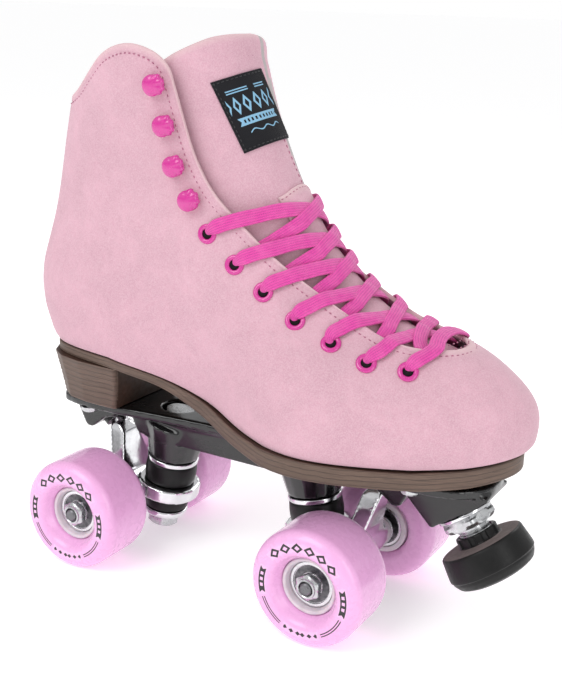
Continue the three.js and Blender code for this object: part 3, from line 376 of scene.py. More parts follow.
def softened(corners, radius, steps=4, closed=True):
    """Corners of a profile, each replaced by a small curve."""
    p = np.asarray(corners, float)
    out = []
    count = len(p)
    for i in range(count):
        if not closed and i in (0, count - 1):
            out.append(p[i])
            continue
        a, b, c = p[i - 1], p[i], p[(i + 1) % count]
        la, lc = np.linalg.norm(a - b), np.linalg.norm(c - b)
        r = min(radius, .45 * la, .45 * lc)
        start, end = b + (a - b) / la * r, b + (c - b) / lc * r
        for t in np.linspace(0, 1, steps):
            out.append((1 - t) ** 2 * start + 2 * t * (1 - t) * b + t ** 2 * end)
    return np.array(out)


def turned(name, profile, base, axis, materials, segments=96, closed=True, shape=None):
    """A piece turned about an axis from a profile of (radius, height) points.

    A closed profile makes a ring; an open one starts and ends on the axis. shape changes the radii."""
    profile = np.asarray(profile, float)
    base, axis = np.asarray(base, float), unit(np.asarray(axis, float))
    side = unit(np.cross(axis, [0, 1, 0]) if abs(axis[1]) < .9 else np.array([0, 0, 1.0]))
    other = np.cross(axis, side)
    angle = np.linspace(0, 2 * np.pi, segments, endpoint=False)
    radius = profile[:, :1] * np.ones(segments)
    if shape is not None:
        radius = shape(profile[:, :1], profile[:, 1:], angle)
    ring = (base + profile[:, 1][:, None, None] * axis
            + radius[..., None] * (np.cos(angle)[:, None] * side + np.sin(angle)[:, None] * other))
    rows = len(profile)
    if closed:
        index = numbered(rows, segments)
        points = ring.reshape(-1, 3)
        faces = list(grid_quads(np.vstack([index, index[:1]]), True))
    else:
        index = numbered(rows - 2, segments)
        points = np.vstack([ring[1:-1].reshape(-1, 3), ring[0, :1], ring[-1, :1]])
        faces = list(grid_quads(index, True))
        first, last = len(points) - 2, len(points) - 1
        around = [(k, (k + 1) % segments) for k in range(segments)]
        faces += [[first, index[0, b], index[0, a]] for a, b in around]
        faces += [[last, index[-1, a], index[-1, b]] for a, b in around]
    return outward_facing(mesh_piece(name, points, faces, materials))


def outward_facing(piece):
    """Turns every face of a closed piece outward."""
    mesh = piece.data
    co = coordinates(mesh)
    mesh.calc_loop_triangles()
    tri = np.zeros(len(mesh.loop_triangles) * 3, np.int32)
    mesh.loop_triangles.foreach_get("vertices", tri)
    a, b, c = (co[tri.reshape(-1, 3)[:, k]] for k in range(3))
    if (a * np.cross(b, c)).sum() < 0:
        mesh.flip_normals()
    return piece


def joined(name, pieces):
    """Several mesh objects as one, with their materials."""
    bpy.ops.object.select_all(action="DESELECT")
    for piece in pieces:
        piece.select_set(True)
    bpy.context.view_layer.objects.active = pieces[0]
    bpy.ops.object.join()
    whole = bpy.context.view_layer.objects.active
    whole.name = whole.data.name = name
    return whole


def node_object(node):
    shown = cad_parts[node]
    return bpy.data.objects[shown] if isinstance(shown, str) else shown


def wear(node, material):
    """Gives a frame node its finish."""
    slots = node_object(node).material_slots
    if not slots:
        raise RuntimeError(f"{node} has no material slot")
    for slot in slots:
        slot.material = material


def cast_copy(name, node, voxel, rounds, material):
    """A frame node's mesh with its corners softened, as a mould leaves them."""
    piece = linked(name, node_object(node).data.copy())
    remesh = piece.modifiers.new("Remesh", "REMESH")
    remesh.mode = "VOXEL"
    remesh.voxel_size = voxel
    remesh.use_smooth_shade = True
    smooth = piece.modifiers.new("Smooth", "SMOOTH")
    smooth.factor = .5
    smooth.iterations = rounds
    plain = baked(piece, name)
    plain.data.materials.clear()
    plain.data.materials.append(material)
    plain.data.polygons.foreach_set("use_smooth", np.full(len(plain.data.polygons), True))
    return plain


def baked(piece, name):
    """The evaluated mesh of a piece as a plain object of its own; the piece itself is removed."""
    graph = bpy.context.evaluated_depsgraph_get()
    mesh = bpy.data.meshes.new_from_object(piece.evaluated_get(graph))
    mesh.name = name
    bpy.data.objects.remove(piece)
    return linked(name, mesh)


def second_material(piece, base, axis, chosen):
    """Gives the second material to the faces whose radius and height about an axis are chosen."""
    base, axis = Vector(in_metres(base)), Vector(axis)
    for polygon in piece.data.polygons:
        offset = Vector(polygon.center) - base
        height = offset.dot(axis)
        radius = (offset - axis * height).length
        polygon.material_index = int(chosen(radius * 1000, height * 1000))


def hold(piece, body, slot, *nodes):
    """Rides a piece on its body and hides the frame nodes that it stands for; its slot is not used."""
    if nodes:
        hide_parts(*nodes)
    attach(piece, body)
    return piece


# ---- Finishes -----------------------------------------------------------------------------------
class Finish:
    """A node material under construction. Noise scales are per millimetre of the object."""

    def __init__(self, name, color, roughness=.5, metallic=0.0, **fixed):
        self.material = bpy.data.materials.new(name)
        self.material.use_nodes = True
        self.material.diffuse_color = (*color, 1)
        self.nodes, self.links = self.material.node_tree.nodes, self.material.node_tree.links
        self.shader = self.nodes["Principled BSDF"]
        self.shader.inputs["Base Color"].default_value = (*color, 1)
        self.shader.inputs["Roughness"].default_value = roughness
        self.shader.inputs["Metallic"].default_value = metallic
        for key, value in fixed.items():
            self.shader.inputs[key.replace("_", " ")].default_value = value
        self.here = self.nodes.new("ShaderNodeTexCoord").outputs["Object"]
        self.last_bump = None

    def feed(self, socket, value):
        if isinstance(value, bpy.types.NodeSocket):
            self.links.new(value, socket)
        else:
            socket.default_value = value

    def math(self, kind, *values, clamp=False):
        node = self.nodes.new("ShaderNodeMath")
        node.operation, node.use_clamp = kind, clamp
        for socket, value in zip(node.inputs, values):
            self.feed(socket, value)
        return node.outputs[0]

    def apart(self, value, centre):
        return self.size(self.minus(value, centre))

    def within(self, value, centre, half):
        return self.below(self.apart(value, centre), half)

    def between(self, value, low, high):
        return self.times(self.above(value, low), self.below(value, high))

    def noise(self, per_mm, detail=3, rough=.5, where=None, distortion=0.0):
        node = self.nodes.new("ShaderNodeTexNoise")
        scale = per_mm * (1000 if where is None else 1)
        settings = {"Scale": scale, "Detail": detail, "Roughness": rough, "Distortion": distortion}
        for key, value in settings.items():
            node.inputs[key].default_value = value
        self.links.new(where or self.here, node.inputs["Vector"])
        return node.outputs["Fac"]

    def cells(self, per_mm, feature="F1"):
        node = self.nodes.new("ShaderNodeTexVoronoi")
        node.feature = feature
        node.inputs["Scale"].default_value = per_mm * 1000
        self.links.new(self.here, node.inputs["Vector"])
        return node.outputs["Distance"]

    def spread(self, value, low, high, to_low=0.0, to_high=1.0):
        node = self.nodes.new("ShaderNodeMapRange")
        for socket, number in zip(node.inputs[:5], (value, low, high, to_low, to_high)):
            self.feed(socket, number)
        return node.outputs[0]

    def mix(self, share, a, b):
        node = self.nodes.new("ShaderNodeMix")
        node.data_type = "RGBA"
        self.feed(node.inputs[0], share)
        for socket, value in ((node.inputs[6], a), (node.inputs[7], b)):
            self.feed(socket, (*value, 1) if isinstance(value, tuple) else value)
        return node.outputs[2]

    def value(self, name):
        node = self.nodes.new("ShaderNodeAttribute")
        node.attribute_name = name
        return node.outputs["Fac"]

    def parts(self, name):
        node = self.nodes.new("ShaderNodeAttribute")
        node.attribute_name = name
        split = self.nodes.new("ShaderNodeSeparateXYZ")
        self.links.new(node.outputs["Vector"], split.inputs[0])
        return split.outputs

    def stretched(self, x, y, z):
        node = self.nodes.new("ShaderNodeMapping")
        node.inputs["Scale"].default_value = (x * 1000, y * 1000, z * 1000)
        self.links.new(self.here, node.inputs["Vector"])
        return node.outputs[0]

    def color(self, value):
        self.feed(self.shader.inputs["Base Color"], value)
        return self

    def roughness(self, value):
        self.feed(self.shader.inputs["Roughness"], value)
        return self

    def bump(self, height, depth_mm, strength=1.0):
        node = self.nodes.new("ShaderNodeBump")
        node.inputs["Strength"].default_value = strength
        node.inputs["Distance"].default_value = depth_mm / 1000
        self.links.new(height, node.inputs["Height"])
        if self.last_bump:
            self.links.new(self.last_bump, node.inputs["Normal"])
        self.last_bump = node.outputs[0]
        self.links.new(self.last_bump, self.shader.inputs["Normal"])
        return self


def arithmetic(kind):
    return lambda self, *values, clamp=False: self.math(kind, *values, clamp=clamp)


for word, kind in {"plus": "ADD", "minus": "SUBTRACT", "times": "MULTIPLY", "larger": "MAXIMUM",
                   "below": "LESS_THAN", "above": "GREATER_THAN", "size": "ABSOLUTE", "sine": "SINE",
                   "fract": "FRACT", "power": "POWER", "root": "SQRT", "bearing": "ARCTAN2"}.items():
    setattr(Finish, word, arithmetic(kind))


def tint(color, factor):
    return tuple(min(1.0, c * factor) for c in color)


def suede_finish(name, pink, rim="rim"):
    """Brushed suede: nap clumps, mottling, cloudy patches and a paler, dusty cut edge."""
    f = Finish(name, pink, .95, Sheen_Weight=.35, Sheen_Roughness=.45, Specular_IOR_Level=.15)
    f.shader.inputs["Sheen Tint"].default_value = (1.0, .86, .9, 1)
    cloud = f.noise(.045, 4, .6, distortion=.6)
    mottle = f.noise(.22, 4, .65)
    nap = f.noise(1.6, 3, .7)
    tone = f.mix(f.spread(cloud, .36, .66), tint(pink, .93), tint(pink, 1.06))
    tone = f.mix(f.spread(mottle, .38, .64, 0, .3), tone, tint(pink, .84))
    tone = f.mix(f.spread(nap, .4, .66, 0, .5), tone, (.74, .54, .60))
    tone = f.mix(f.spread(f.value(rim), .6, 3.6, .62, 0), tone, (.70, .52, .52))
    f.color(tone).roughness(f.spread(nap, .3, .7, .86, 1.0))
    f.bump(f.noise(.11, 3, .5), .5, .35)
    f.bump(f.cells(.9), .12, .35)
    return f.bump(nap, .22, .6).material


def lining_finish(name, color):
    """A close synthetic lining with a fine diagonal knit."""
    f = Finish(name, color, .85, Sheen_Weight=.2, Specular_IOR_Level=.25)
    a = f.nodes.new("ShaderNodeTexWave")
    a.inputs["Scale"].default_value = 420
    a.inputs["Distortion"].default_value = 1.2
    a.bands_direction = "DIAGONAL"
    f.links.new(f.here, a.inputs["Vector"])
    f.color(f.mix(f.spread(f.noise(.3, 4), .3, .7, .1, .6), tint(color, 1.12), tint(color, .8)))
    f.bump(a.outputs["Fac"], .1, .5)
    return f.bump(f.noise(1.2), .1, .4).material


def lace_finish(name, magenta):
    """A flat woven lace: chevrons of yarn on both flanks and raised cords down the middle, with painted
    shade in the hollows between them.
    """
    f = Finish(name, magenta, .62, Sheen_Weight=.25, Specular_IOR_Level=.35)
    across, forward, _ = f.parts("weave")
    flank = f.size(across)
    # yarns lie aslant and meet in a chevron
    slant = f.plus(f.times(forward, 3.6), f.times(flank, 4.4))
    yarn = f.size(f.sine(slant))
    cords = f.size(f.sine(f.times(across, 2.75)))
    ridge = f.times(f.power(yarn, .6), f.power(f.plus(cords, .12), .5))
    worn = f.noise(.25, 4)
    # painted shade and painted highlight: the colour is halved in the hollows of the weave and lifted on
    # the crowns of the yarns and cords
    tone = f.mix(f.spread(ridge, .05, .85), tint(magenta, .5), tint(magenta, 1.15))
    tone = f.mix(f.spread(worn, .35, .7, 0, .25), tone, (1.0, .24, .56))
    f.color(tone).roughness(f.spread(ridge, 0, 1, .8, .52))
    return f.bump(ridge, .35, .8).material


def thread_finish(name, color):
    f = Finish(name, color, .6, Sheen_Weight=.2)
    f.color(f.mix(f.spread(f.noise(1.4), .3, .7), tint(color, .7), tint(color, 1.2)))
    return f.bump(f.noise(3.0), .06).material


def enamel_finish(name, magenta):
    """Glossy baked enamel with a trace of orange peel and a faintly blotchy tone."""
    f = Finish(name, magenta, .22, Coat_Weight=.6, Coat_Roughness=.08, Specular_IOR_Level=.6)
    f.color(f.mix(f.spread(f.noise(.5, 4), .4, .7, 0, .3), magenta, tint(magenta, .8)))
    f.roughness(f.spread(f.noise(.8), .3, .7, .16, .3))
    return f.bump(f.noise(.7, 2), .05, .35).material


def stacked_leather_finish(name, color):
    """Leather lifts pressed in a stack: fine lines between lifts and a waxed, streaked edge."""
    f = Finish(name, color, .55, Specular_IOR_Level=.35, Coat_Weight=.08, Coat_Roughness=.4)
    lift = f.value("lift")
    wobble = f.times(f.noise(.06, 3), .9)
    streak = f.noise(1.0, 5, .65, where=f.stretched(.12, .12, 3.2))
    place = f.plus(lift, wobble)
    part = f.fract(place)
    seam = f.spread(part, 0, .22, 1, 0)
    step = f.noise(1.0, 1, .5, where=f.stretched(.01, .01, .31))
    tone = f.mix(f.spread(streak, .34, .66), tint(color, .74), tint(color, 1.34))
    tone = f.mix(f.spread(step, .4, .6, 0, .5), tone, tint(color, .8))
    tone = f.mix(f.times(seam, .75), tone, tint(color, .3))
    f.color(tone).roughness(f.spread(streak, .3, .7, .48, .68))
    f.bump(seam, -.25, .7)
    return f.bump(streak, .12, .5).material


def sole_face_finish(name, color):
    """Dark stained sole leather."""
    f = Finish(name, color, .5, Specular_IOR_Level=.4)
    f.color(f.mix(f.spread(f.noise(.12, 5, .7), .3, .7), tint(color, .6), tint(color, 1.4)))
    f.roughness(f.spread(f.noise(.4, 3), .3, .7, .4, .62))
    return f.bump(f.cells(.7), .08, .4).material


def nylon_finish(name, color):
    """Glossy moulded nylon: faint flow marks, light scuffs and an even fine texture."""
    f = Finish(name, color, .22, Coat_Weight=.35, Coat_Roughness=.12, Specular_IOR_Level=.55)
    flow = f.noise(.03, 4, .55, distortion=1.5)
    scuff = f.noise(1.0, 5, .7, where=f.stretched(.03, .5, .5))
    f.color(f.mix(f.spread(scuff, .55, .75, 0, .5), tint(color, .8), tint(color, 1.9)))
    f.roughness(f.plus(f.spread(flow, .3, .7, .14, .3), f.spread(scuff, .55, .8, 0, .18)))
    f.bump(f.noise(.5, 2), .04, .3)
    return f.bump(flow, .5, .15).material


def plated_finish(name, color, rough, ripple):
    """Plated metal: slight cloudiness, a soft casting ripple and dull specks."""
    f = Finish(name, color, rough, 1.0)
    cloud = f.noise(.09, 4, .6)
    f.color(f.mix(f.spread(cloud, .35, .7, 0, .5), tint(color, 1.05), tint(color, .72)))
    f.roughness(f.spread(f.noise(.5, 4), .3, .75, rough * .7, rough * 1.9))
    f.bump(f.noise(.12, 2), .35, ripple)
    return f.bump(f.noise(1.5, 3), .03, .3).material


def rubber_finish(name, color, rough):
    """Moulded rubber with bloom and small scuffs."""
    f = Finish(name, color, rough, Specular_IOR_Level=.28)
    bloom = f.noise(.08, 4, .6)
    f.color(f.mix(f.spread(bloom, .45, .75, 0, .5), color, tint(color, 1.7)))
    f.roughness(f.spread(f.noise(.6, 4), .3, .7, rough * .8, min(1, rough * 1.25)))
    return f.bump(f.noise(1.1, 4, .6), .08, .5).material


def urethane_finish(name, lilac):
    """Cast urethane with a pad print round the outer face: paired arcs, pennants and rows of lozenges."""
    f = Finish(name, lilac, .3, Coat_Weight=.3, Coat_Roughness=.12, Specular_IOR_Level=.5)
    tone = f.mix(f.spread(f.noise(.04, 2), .35, .7, 0, .4), tint(lilac, 1.02), tint(lilac, .94))
    tone = f.mix(f.spread(f.noise(1.4, 3, .6), .6, .8, 0, .1), tone, tint(lilac, .8))
    x, z, face = f.parts("dial")
    radius = f.root(f.plus(f.times(x, x), f.times(z, z)))
    angle = f.bearing(x, z)  # 0 at the top, positive to the right
    turn = f.size(angle)
    off_band = f.apart(radius, 21.3)
    # paired arcs low on both sides
    arcs = f.times(f.between(turn, 1.95, 2.62),
                   f.larger(f.within(radius, 21.95, .26), f.within(radius, 20.85, .26)))
    # pennants on the left and right, with a beaded window
    notch = f.times(f.minus(1.55, off_band), .035)
    pennant = f.times(f.below(off_band, 1.55), f.between(turn, f.plus(1.24, notch), f.minus(1.86, notch)))
    window = f.times(f.below(off_band, .75), f.between(turn, 1.34, 1.76))
    beads = f.above(f.sine(f.times(turn, 46)), -.1)
    pennant = f.minus(pennant, f.times(window, beads), clamp=True)

    def lozenge(count, wide, tall):
        saw = f.apart(f.fract(f.times(angle, count)), .5)
        return f.plus(f.times(saw, wide), f.times(off_band, tall))

    # open lozenges over the top and small filled ones under the hub
    gem = lozenge(3.3, 3.0, .58)
    row = f.times(f.below(turn, .91), f.minus(f.below(gem, 1.42), f.below(gem, .66), clamp=True))
    low_row = f.times(f.above(turn, 2.72), f.below(lozenge(6.0, 2.6, .9), .98))
    ink = f.times(f.larger(f.larger(arcs, pennant), f.larger(row, low_row)), face)
    marked = f.larger(f.below(turn, .95), f.larger(f.between(turn, 1.2, 1.9), f.above(turn, 2.68)))
    halo = f.times(f.times(f.times(f.below(off_band, 2.0), marked), face), .16)
    tone = f.mix(halo, tone, (.93, .86, .93))
    f.color(f.mix(ink, tone, (.012, .011, .013)))
    f.roughness(f.plus(f.spread(f.noise(.3, 3), .3, .7, .25, .3), f.times(ink, .2)))
    f.bump(ink, .03, .5)
    return f.bump(f.noise(.9, 2), .02, .12).material


def hub_finish(name, color):
    f = Finish(name, color, .35, Subsurface_Weight=.1, Subsurface_Scale=.003)
    f.color(f.mix(f.spread(f.noise(.2, 3), .3, .7), tint(color, .88), tint(color, 1.05)))
    return f.bump(f.noise(1.0), .04, .4).material


def label_finish(name):
    """A woven label: black satin ground and pale blue generic motifs."""
    f = Finish(name, (.012, .012, .014), .75, Sheen_Weight=.03, Specular_IOR_Level=.15)
    x, y, _ = f.parts("patch")

    def box(cx, cy, hx, hy):
        return f.times(f.within(x, cx, hx), f.within(y, cy, hy))

    # rules at the top, a frieze of lozenges, a plain banner and a wavy rule; x runs 0..24, y 0..33 down
    rules = f.larger(box(8.5, 6.2, 4.5, .28), box(8.5, 7.4, 4.5, .28))
    rules = f.larger(rules, f.larger(box(18.5, 6.2, 2.6, .28), box(18.5, 7.4, 2.6, .28)))
    cell = f.apart(f.fract(f.times(x, .2439)), .5)
    gem = f.plus(f.times(cell, 4.8), f.times(f.apart(y, 13.6), .42))
    open_gem = f.minus(f.below(gem, 1.9), f.below(gem, .95), clamp=True)
    frieze = f.times(box(12.5, 13.6, 10.2, 4.3), open_gem)
    tails = f.plus(7.6, f.times(f.apart(y, 21.4), .6))
    dots = f.times(box(12.5, 21.4, 7.2, .8), f.above(f.sine(f.times(x, 4.2)), .1))
    banner = f.times(f.within(y, 21.4, 1.9), f.within(x, 12.5, tails))
    banner = f.minus(banner, dots, clamp=True)
    wave = f.times(f.sine(f.times(x, 1.3)), .7)
    wavy = f.times(box(13, 26.6, 6.5, 2), f.within(f.minus(y, 26.6), wave, .3))
    motif = f.larger(f.larger(rules, frieze), f.larger(banner, wavy))
    weft = f.size(f.sine(f.times(y, 11)))
    warp = f.size(f.sine(f.times(x, 13)))
    cloth = f.times(weft, warp)
    # painted shade and painted highlight: the ground and the motifs are darker between the threads and
    # lighter on their crowns
    ground = f.mix(cloth, (.006, .006, .008), (.028, .028, .032))
    ink = f.mix(cloth, (.20, .42, .60), (.36, .62, .82))
    f.color(f.mix(motif, ground, ink))
    return f.bump(cloth, .12, .7).material


def shield_finish(name):
    f = Finish(name, (.10, .10, .11), .35, .9)
    f.color(f.mix(f.spread(f.noise(.4, 4), .3, .7), (.06, .06, .065), (.2, .2, .21)))
    return f.bump(f.noise(1.2), .05, .4).material


# ---- Geometry nodes -----------------------------------------------------------------------------
class Tree:
    """A geometry node group under construction, with named inputs."""

    def __init__(self, name, inputs):
        self.group = bpy.data.node_groups.new(name, "GeometryNodeTree")
        face = self.group.interface
        face.new_socket("Geometry", in_out="INPUT", socket_type="NodeSocketGeometry")
        for key, kind in inputs:
            face.new_socket(key, in_out="INPUT", socket_type="NodeSocket" + kind)
        face.new_socket("Geometry", in_out="OUTPUT", socket_type="NodeSocketGeometry")
        self.start = self.node("NodeGroupInput")
        self.end = self.node("NodeGroupOutput")

    def node(self, kind, **settings):
        node = self.group.nodes.new(kind)
        for key, value in settings.items():
            setattr(node, key, value)
        return node

    def link(self, a, b):
        self.group.links.new(a, b)

    def attribute(self, name):
        node = self.node("GeometryNodeInputNamedAttribute", data_type="FLOAT_VECTOR")
        node.inputs["Name"].default_value = name
        return node.outputs["Attribute"]

    def set_on(self, points, piece, material_input):
        """Instances on points turned to their facing and heading, realised and given the material."""
        turn = self.node("FunctionNodeAlignRotationToVector", axis="Z")
        self.link(self.attribute("facing"), turn.inputs["Vector"])
        head = self.node("FunctionNodeAlignRotationToVector", axis="X", pivot_axis="Z")
        self.link(turn.outputs[0], head.inputs["Rotation"])
        self.link(self.attribute("heading"), head.inputs["Vector"])
        place = self.node("GeometryNodeInstanceOnPoints")
        self.link(points, place.inputs["Points"])
        self.link(piece, place.inputs["Instance"])
        self.link(head.outputs[0], place.inputs["Rotation"])
        real = self.node("GeometryNodeRealizeInstances")
        self.link(place.outputs[0], real.inputs[0])
        self.finish(real.outputs[0], material_input)
        return place

    def finish(self, geometry, material_input):
        shade = self.node("GeometryNodeSetShadeSmooth")
        self.link(geometry, shade.inputs["Geometry"])
        coat = self.node("GeometryNodeSetMaterial")
        self.link(shade.outputs[0], coat.inputs["Geometry"])
        self.link(self.start.outputs[material_input], coat.inputs["Material"])
        self.link(coat.outputs[0], self.end.inputs[0])


def seam_tree():
    """Stitches at an even spacing along edges; each is a small pulled-down loop of thread."""
    t = Tree("seam_stitches", [("Spacing", "Float"), ("Stitch length", "Float"), ("Thread", "Float"),
                               ("Material", "Material")])
    curve = t.node("GeometryNodeMeshToCurve")
    t.link(t.start.outputs["Geometry"], curve.inputs[0])
    even = t.node("GeometryNodeResampleCurve", mode="LENGTH")
    t.link(curve.outputs[0], even.inputs["Curve"])
    t.link(t.start.outputs["Spacing"], even.inputs["Length"])
    points = t.node("GeometryNodeCurveToPoints", mode="EVALUATED")
    t.link(even.outputs[0], points.inputs[0])
    ball = t.node("GeometryNodeMeshUVSphere")
    ball.inputs["Segments"].default_value = 8
    ball.inputs["Rings"].default_value = 5
    ball.inputs["Radius"].default_value = .5
    size = t.node("ShaderNodeCombineXYZ")
    t.link(t.start.outputs["Stitch length"], size.inputs["X"])
    t.link(t.start.outputs["Thread"], size.inputs["Y"])
    t.link(t.start.outputs["Thread"], size.inputs["Z"])
    stitch = t.node("GeometryNodeTransform")
    t.link(ball.outputs[0], stitch.inputs["Geometry"])
    t.link(size.outputs[0], stitch.inputs["Scale"])
    t.set_on(points.outputs[0], stitch.outputs[0], "Material")
    return t.group


def fitting_tree():
    """One fitting on each point, turned to face out of the upper."""
    t = Tree("row_of_fittings", [("Fitting", "Object"), ("Size", "Float"), ("Material", "Material")])
    points = t.node("GeometryNodeMeshToPoints")
    t.link(t.start.outputs["Geometry"], points.inputs[0])
    fitting = t.node("GeometryNodeObjectInfo", transform_space="ORIGINAL")
    t.link(t.start.outputs["Fitting"], fitting.inputs["Object"])
    place = t.set_on(points.outputs[0], fitting.outputs["Geometry"], "Material")
    size = t.node("ShaderNodeCombineXYZ")
    for axis in "XYZ":
        t.link(t.start.outputs["Size"], size.inputs[axis])
    t.link(size.outputs[0], place.inputs["Scale"])
    return t.group


def thread_tree():
    """A helical screw thread of a triangular section."""
    t = Tree("screw_thread", [("Radius", "Float"), ("Turns", "Float"), ("Height", "Float"),
                              ("Depth", "Float"), ("Material", "Material")])
    spiral = t.node("GeometryNodeCurveSpiral")
    spiral.inputs["Resolution"].default_value = 40
    for key, socket in (("Radius", "Start Radius"), ("Radius", "End Radius"), ("Turns", "Rotations"),
                        ("Height", "Height")):
        t.link(t.start.outputs[key], spiral.inputs[socket])
    section = t.node("GeometryNodeCurvePrimitiveCircle")
    section.inputs["Resolution"].default_value = 3
    t.link(t.start.outputs["Depth"], section.inputs["Radius"])
    sweep = t.node("GeometryNodeCurveToMesh")
    sweep.inputs["Fill Caps"].default_value = True
    t.link(spiral.outputs[0], sweep.inputs["Curve"])
    t.link(section.outputs[0], sweep.inputs["Profile Curve"])
    both = t.node("GeometryNodeJoinGeometry")
    t.link(sweep.outputs[0], both.inputs[0])
    real = t.node("GeometryNodeRealizeInstances")
    t.link(both.outputs[0], real.inputs[0])
    t.finish(real.outputs[0], "Material")
    return t.group


def grown(name, points, edges, facing, heading, group, inputs):
    """Points with facing and heading, passed through a node group and made a plain mesh."""
    mesh = bpy.data.meshes.new(name)
    mesh.from_pydata(in_metres(points).tolist(), edges, [])
    store(mesh, "facing", facing)
    store(mesh, "heading", heading)
    return through_tree(linked(name, mesh), name, group, inputs)


def through_tree(piece, name, group, inputs):
    modifier = piece.modifiers.new("grow", "NODES")
    modifier.node_group = group
    for item in group.interface.items_tree:
        if item.item_type == "SOCKET" and item.in_out == "INPUT" and item.name in inputs:
            modifier[item.identifier] = inputs[item.name]
    return baked(piece, name)


def stitched(name, paths, spacing, length, thread, slot="suede", kind="seam thread"):
    """Rows of stitches along paths, each given as (points, facing), riding on the skate."""
    points, facing, heading, edges = [], [], [], []
    for line, out in paths:
        first = sum(len(p) for p in points)
        points.append(line)
        facing.append(out)
        heading.append(np.gradient(line, axis=0))
        edges += [(first + i, first + i + 1) for i in range(len(line) - 1)]
    row = grown(name, np.vstack(points), edges, np.vstack(facing), np.vstack(heading), seam_tree(),
                {"Spacing": spacing / 1000, "Stitch length": length / 1000, "Thread": thread / 1000,
                 "Material": finish(kind)})
    hold(row, "skate", slot)


def screw_thread(name, base, axis, radius, pitch, length, depth, material):
    """A thread wound on a rod from a base along an axis."""
    made = through_tree(linked(name, bpy.data.meshes.new(name)), name, thread_tree(),
                        {"Radius": radius / 1000, "Turns": length / pitch, "Height": length / 1000,
                         "Depth": depth / 1000, "Material": material})
    turn = Vector(axis).to_track_quat("Z", "Y").to_matrix().to_4x4()
    made.data.transform(Matrix.Translation(Vector(in_metres(base))) @ turn)
    return made


# ---- What a user may change ---------------------------------------------------------------------
def color_property(name, description, default):
    return bpy.props.FloatVectorProperty(name=name, description=description, default=default, size=3, min=0,
                                         max=1, subtype="COLOR")


def length_property(name, description, default):
    return bpy.props.FloatProperty(name=name, description=description, default=default, min=0,
                                   unit="LENGTH")


class BootSettings(bpy.types.PropertyGroup):
    suede: color_property("Suede", "Colour of the brushed suede", (.62, .355, .43))
    lining: color_property("Lining", "Colour of the inside", (.42, .38, .38))
    sole: color_property("Sole and heel", "Colour of the stacked leather edge", (.128, .084, .064))
    upper_thickness: length_property("Suede thickness", "Thickness of the upper", .0022)
    stitch_spacing: length_property("Stitch spacing", "From one stitch to the next", .0027)
    stitch_length: length_property("Stitch length", "Visible length of one stitch", .0015)


class LacingSettings(bpy.types.PropertyGroup):
    lace: color_property("Lace", "Colour of the woven lace", (.80, .06, .40))
    enamel: color_property("Enamel", "Colour of the eyelets and hooks", (.60, .025, .28))
    lace_width: length_property("Lace width", "Width of the flat lace", .007)
    lace_thickness: length_property("Lace thickness", "Thickness of the flat lace", .0016)
    fitting_size: bpy.props.FloatProperty(name="Fitting size", description="Size of the eyelets and hooks",
                                          default=1, min=.5, max=1.5, subtype="FACTOR")


class RollingSettings(bpy.types.PropertyGroup):
    urethane: color_property("Urethane", "Colour of the wheels", (.86, .44, .75))
    wheel_radius: length_property("Wheel radius", "Radius of the tread", AXLE_HEIGHT / 1000)
    thread_pitch: length_property("Thread pitch", "Pitch of the axle threads", .001)


class StageSettings(bpy.types.PropertyGroup):
    floor: color_property("Floor", "Colour of the floor", (1.0, 1.0, 1.0))
    key_power: bpy.props.FloatProperty(name="Key light", description="Power of the main soft light",
                                       default=8.6, min=0, unit="POWER")


def chosen(group, key):
    return tuple(getattr(getattr(bpy.context.scene, "skate_" + group), key))


MADE = {}
MAKERS = {
    "suede": lambda: suede_finish("brushed_suede", chosen("boot", "suede")),
    "lining": lambda: lining_finish("lining_cloth", chosen("boot", "lining")),
    "seam thread": lambda: thread_finish("seam_thread", (.42, .13, .22)),
    "black thread": lambda: thread_finish("black_thread", (.02, .02, .022)),
    "label": lambda: label_finish("woven_label"),
    "lace": lambda: lace_finish("woven_lace", chosen("lacing", "lace")),
    "enamel": lambda: enamel_finish("enamel", chosen("lacing", "enamel")),
    # painted shade: a near-black finish for the discs set in the eyelets, standing for the shade inside the
    # holes
    "backing": lambda: rubber_finish("dark_backing", (.006, .004, .005), .9),
    "stack": lambda: stacked_leather_finish("stacked_leather", chosen("boot", "sole")),
    "sole face": lambda: sole_face_finish("stained_leather", (.045, .022, .014)),
    "nylon": lambda: nylon_finish("black_nylon", (.006, .006, .0065)),
    "rubber": lambda: rubber_finish("black_rubber", (.006, .006, .006), .4),
    "dusty rubber": lambda: rubber_finish("dusty_rubber", (.16, .13, .125), .7),
    "zinc": lambda: plated_finish("zinc_plate", (.60, .61, .62), .24, .06),
    "chrome": lambda: plated_finish("chrome_plate", (.78, .78, .80), .1, .18),
    "axle steel": lambda: plated_finish("axle_steel", (.20, .20, .21), .32, .25),
    "bearing steel": lambda: plated_finish("bearing_steel", (.72, .72, .74), .18, .12),
    "shield": lambda: shield_finish("bearing_shield"),
    "urethane": lambda: urethane_finish("cast_urethane", chosen("rolling", "urethane")),
    "hub": lambda: hub_finish("hub_nylon", (.72, .64, .69)),
}


def finish(key):
    """A finish by name, made once."""
    if key not in MADE:
        MADE[key] = MAKERS[key]()
    return MADE[key]


class SkateOperator:
    bl_options = {"REGISTER", "UNDO"}


# ---- Stage --------------------------------------------------------------------------------------
CAMERA_SPOT = (287.0, -457.8, 282.0)
CAMERA_AXES = ((.8598, .5098, .0298), (-.1705, .2316, .9578), (.4813, -.8286, .2860))  # right, up, back
FOCAL_LENGTH = 59.33
FLOOR_REACH = 60000
SKY_GREYS = ((.10, .30), (.22, .95), (.5, .7))
# Name, place, aim, size and share of the key light's power.
LIGHTS = (
    ("key", (-.35, -1.0, 1.1), (0, 0, .12), (.9, .9), 1),
    ("front", (1.1, -.5, .6), (.05, 0, .1), (.35, 1.0), .34),
    ("back", (.1, 1.1, .8), (0, 0, .1), (1.0, .5), .4),
)


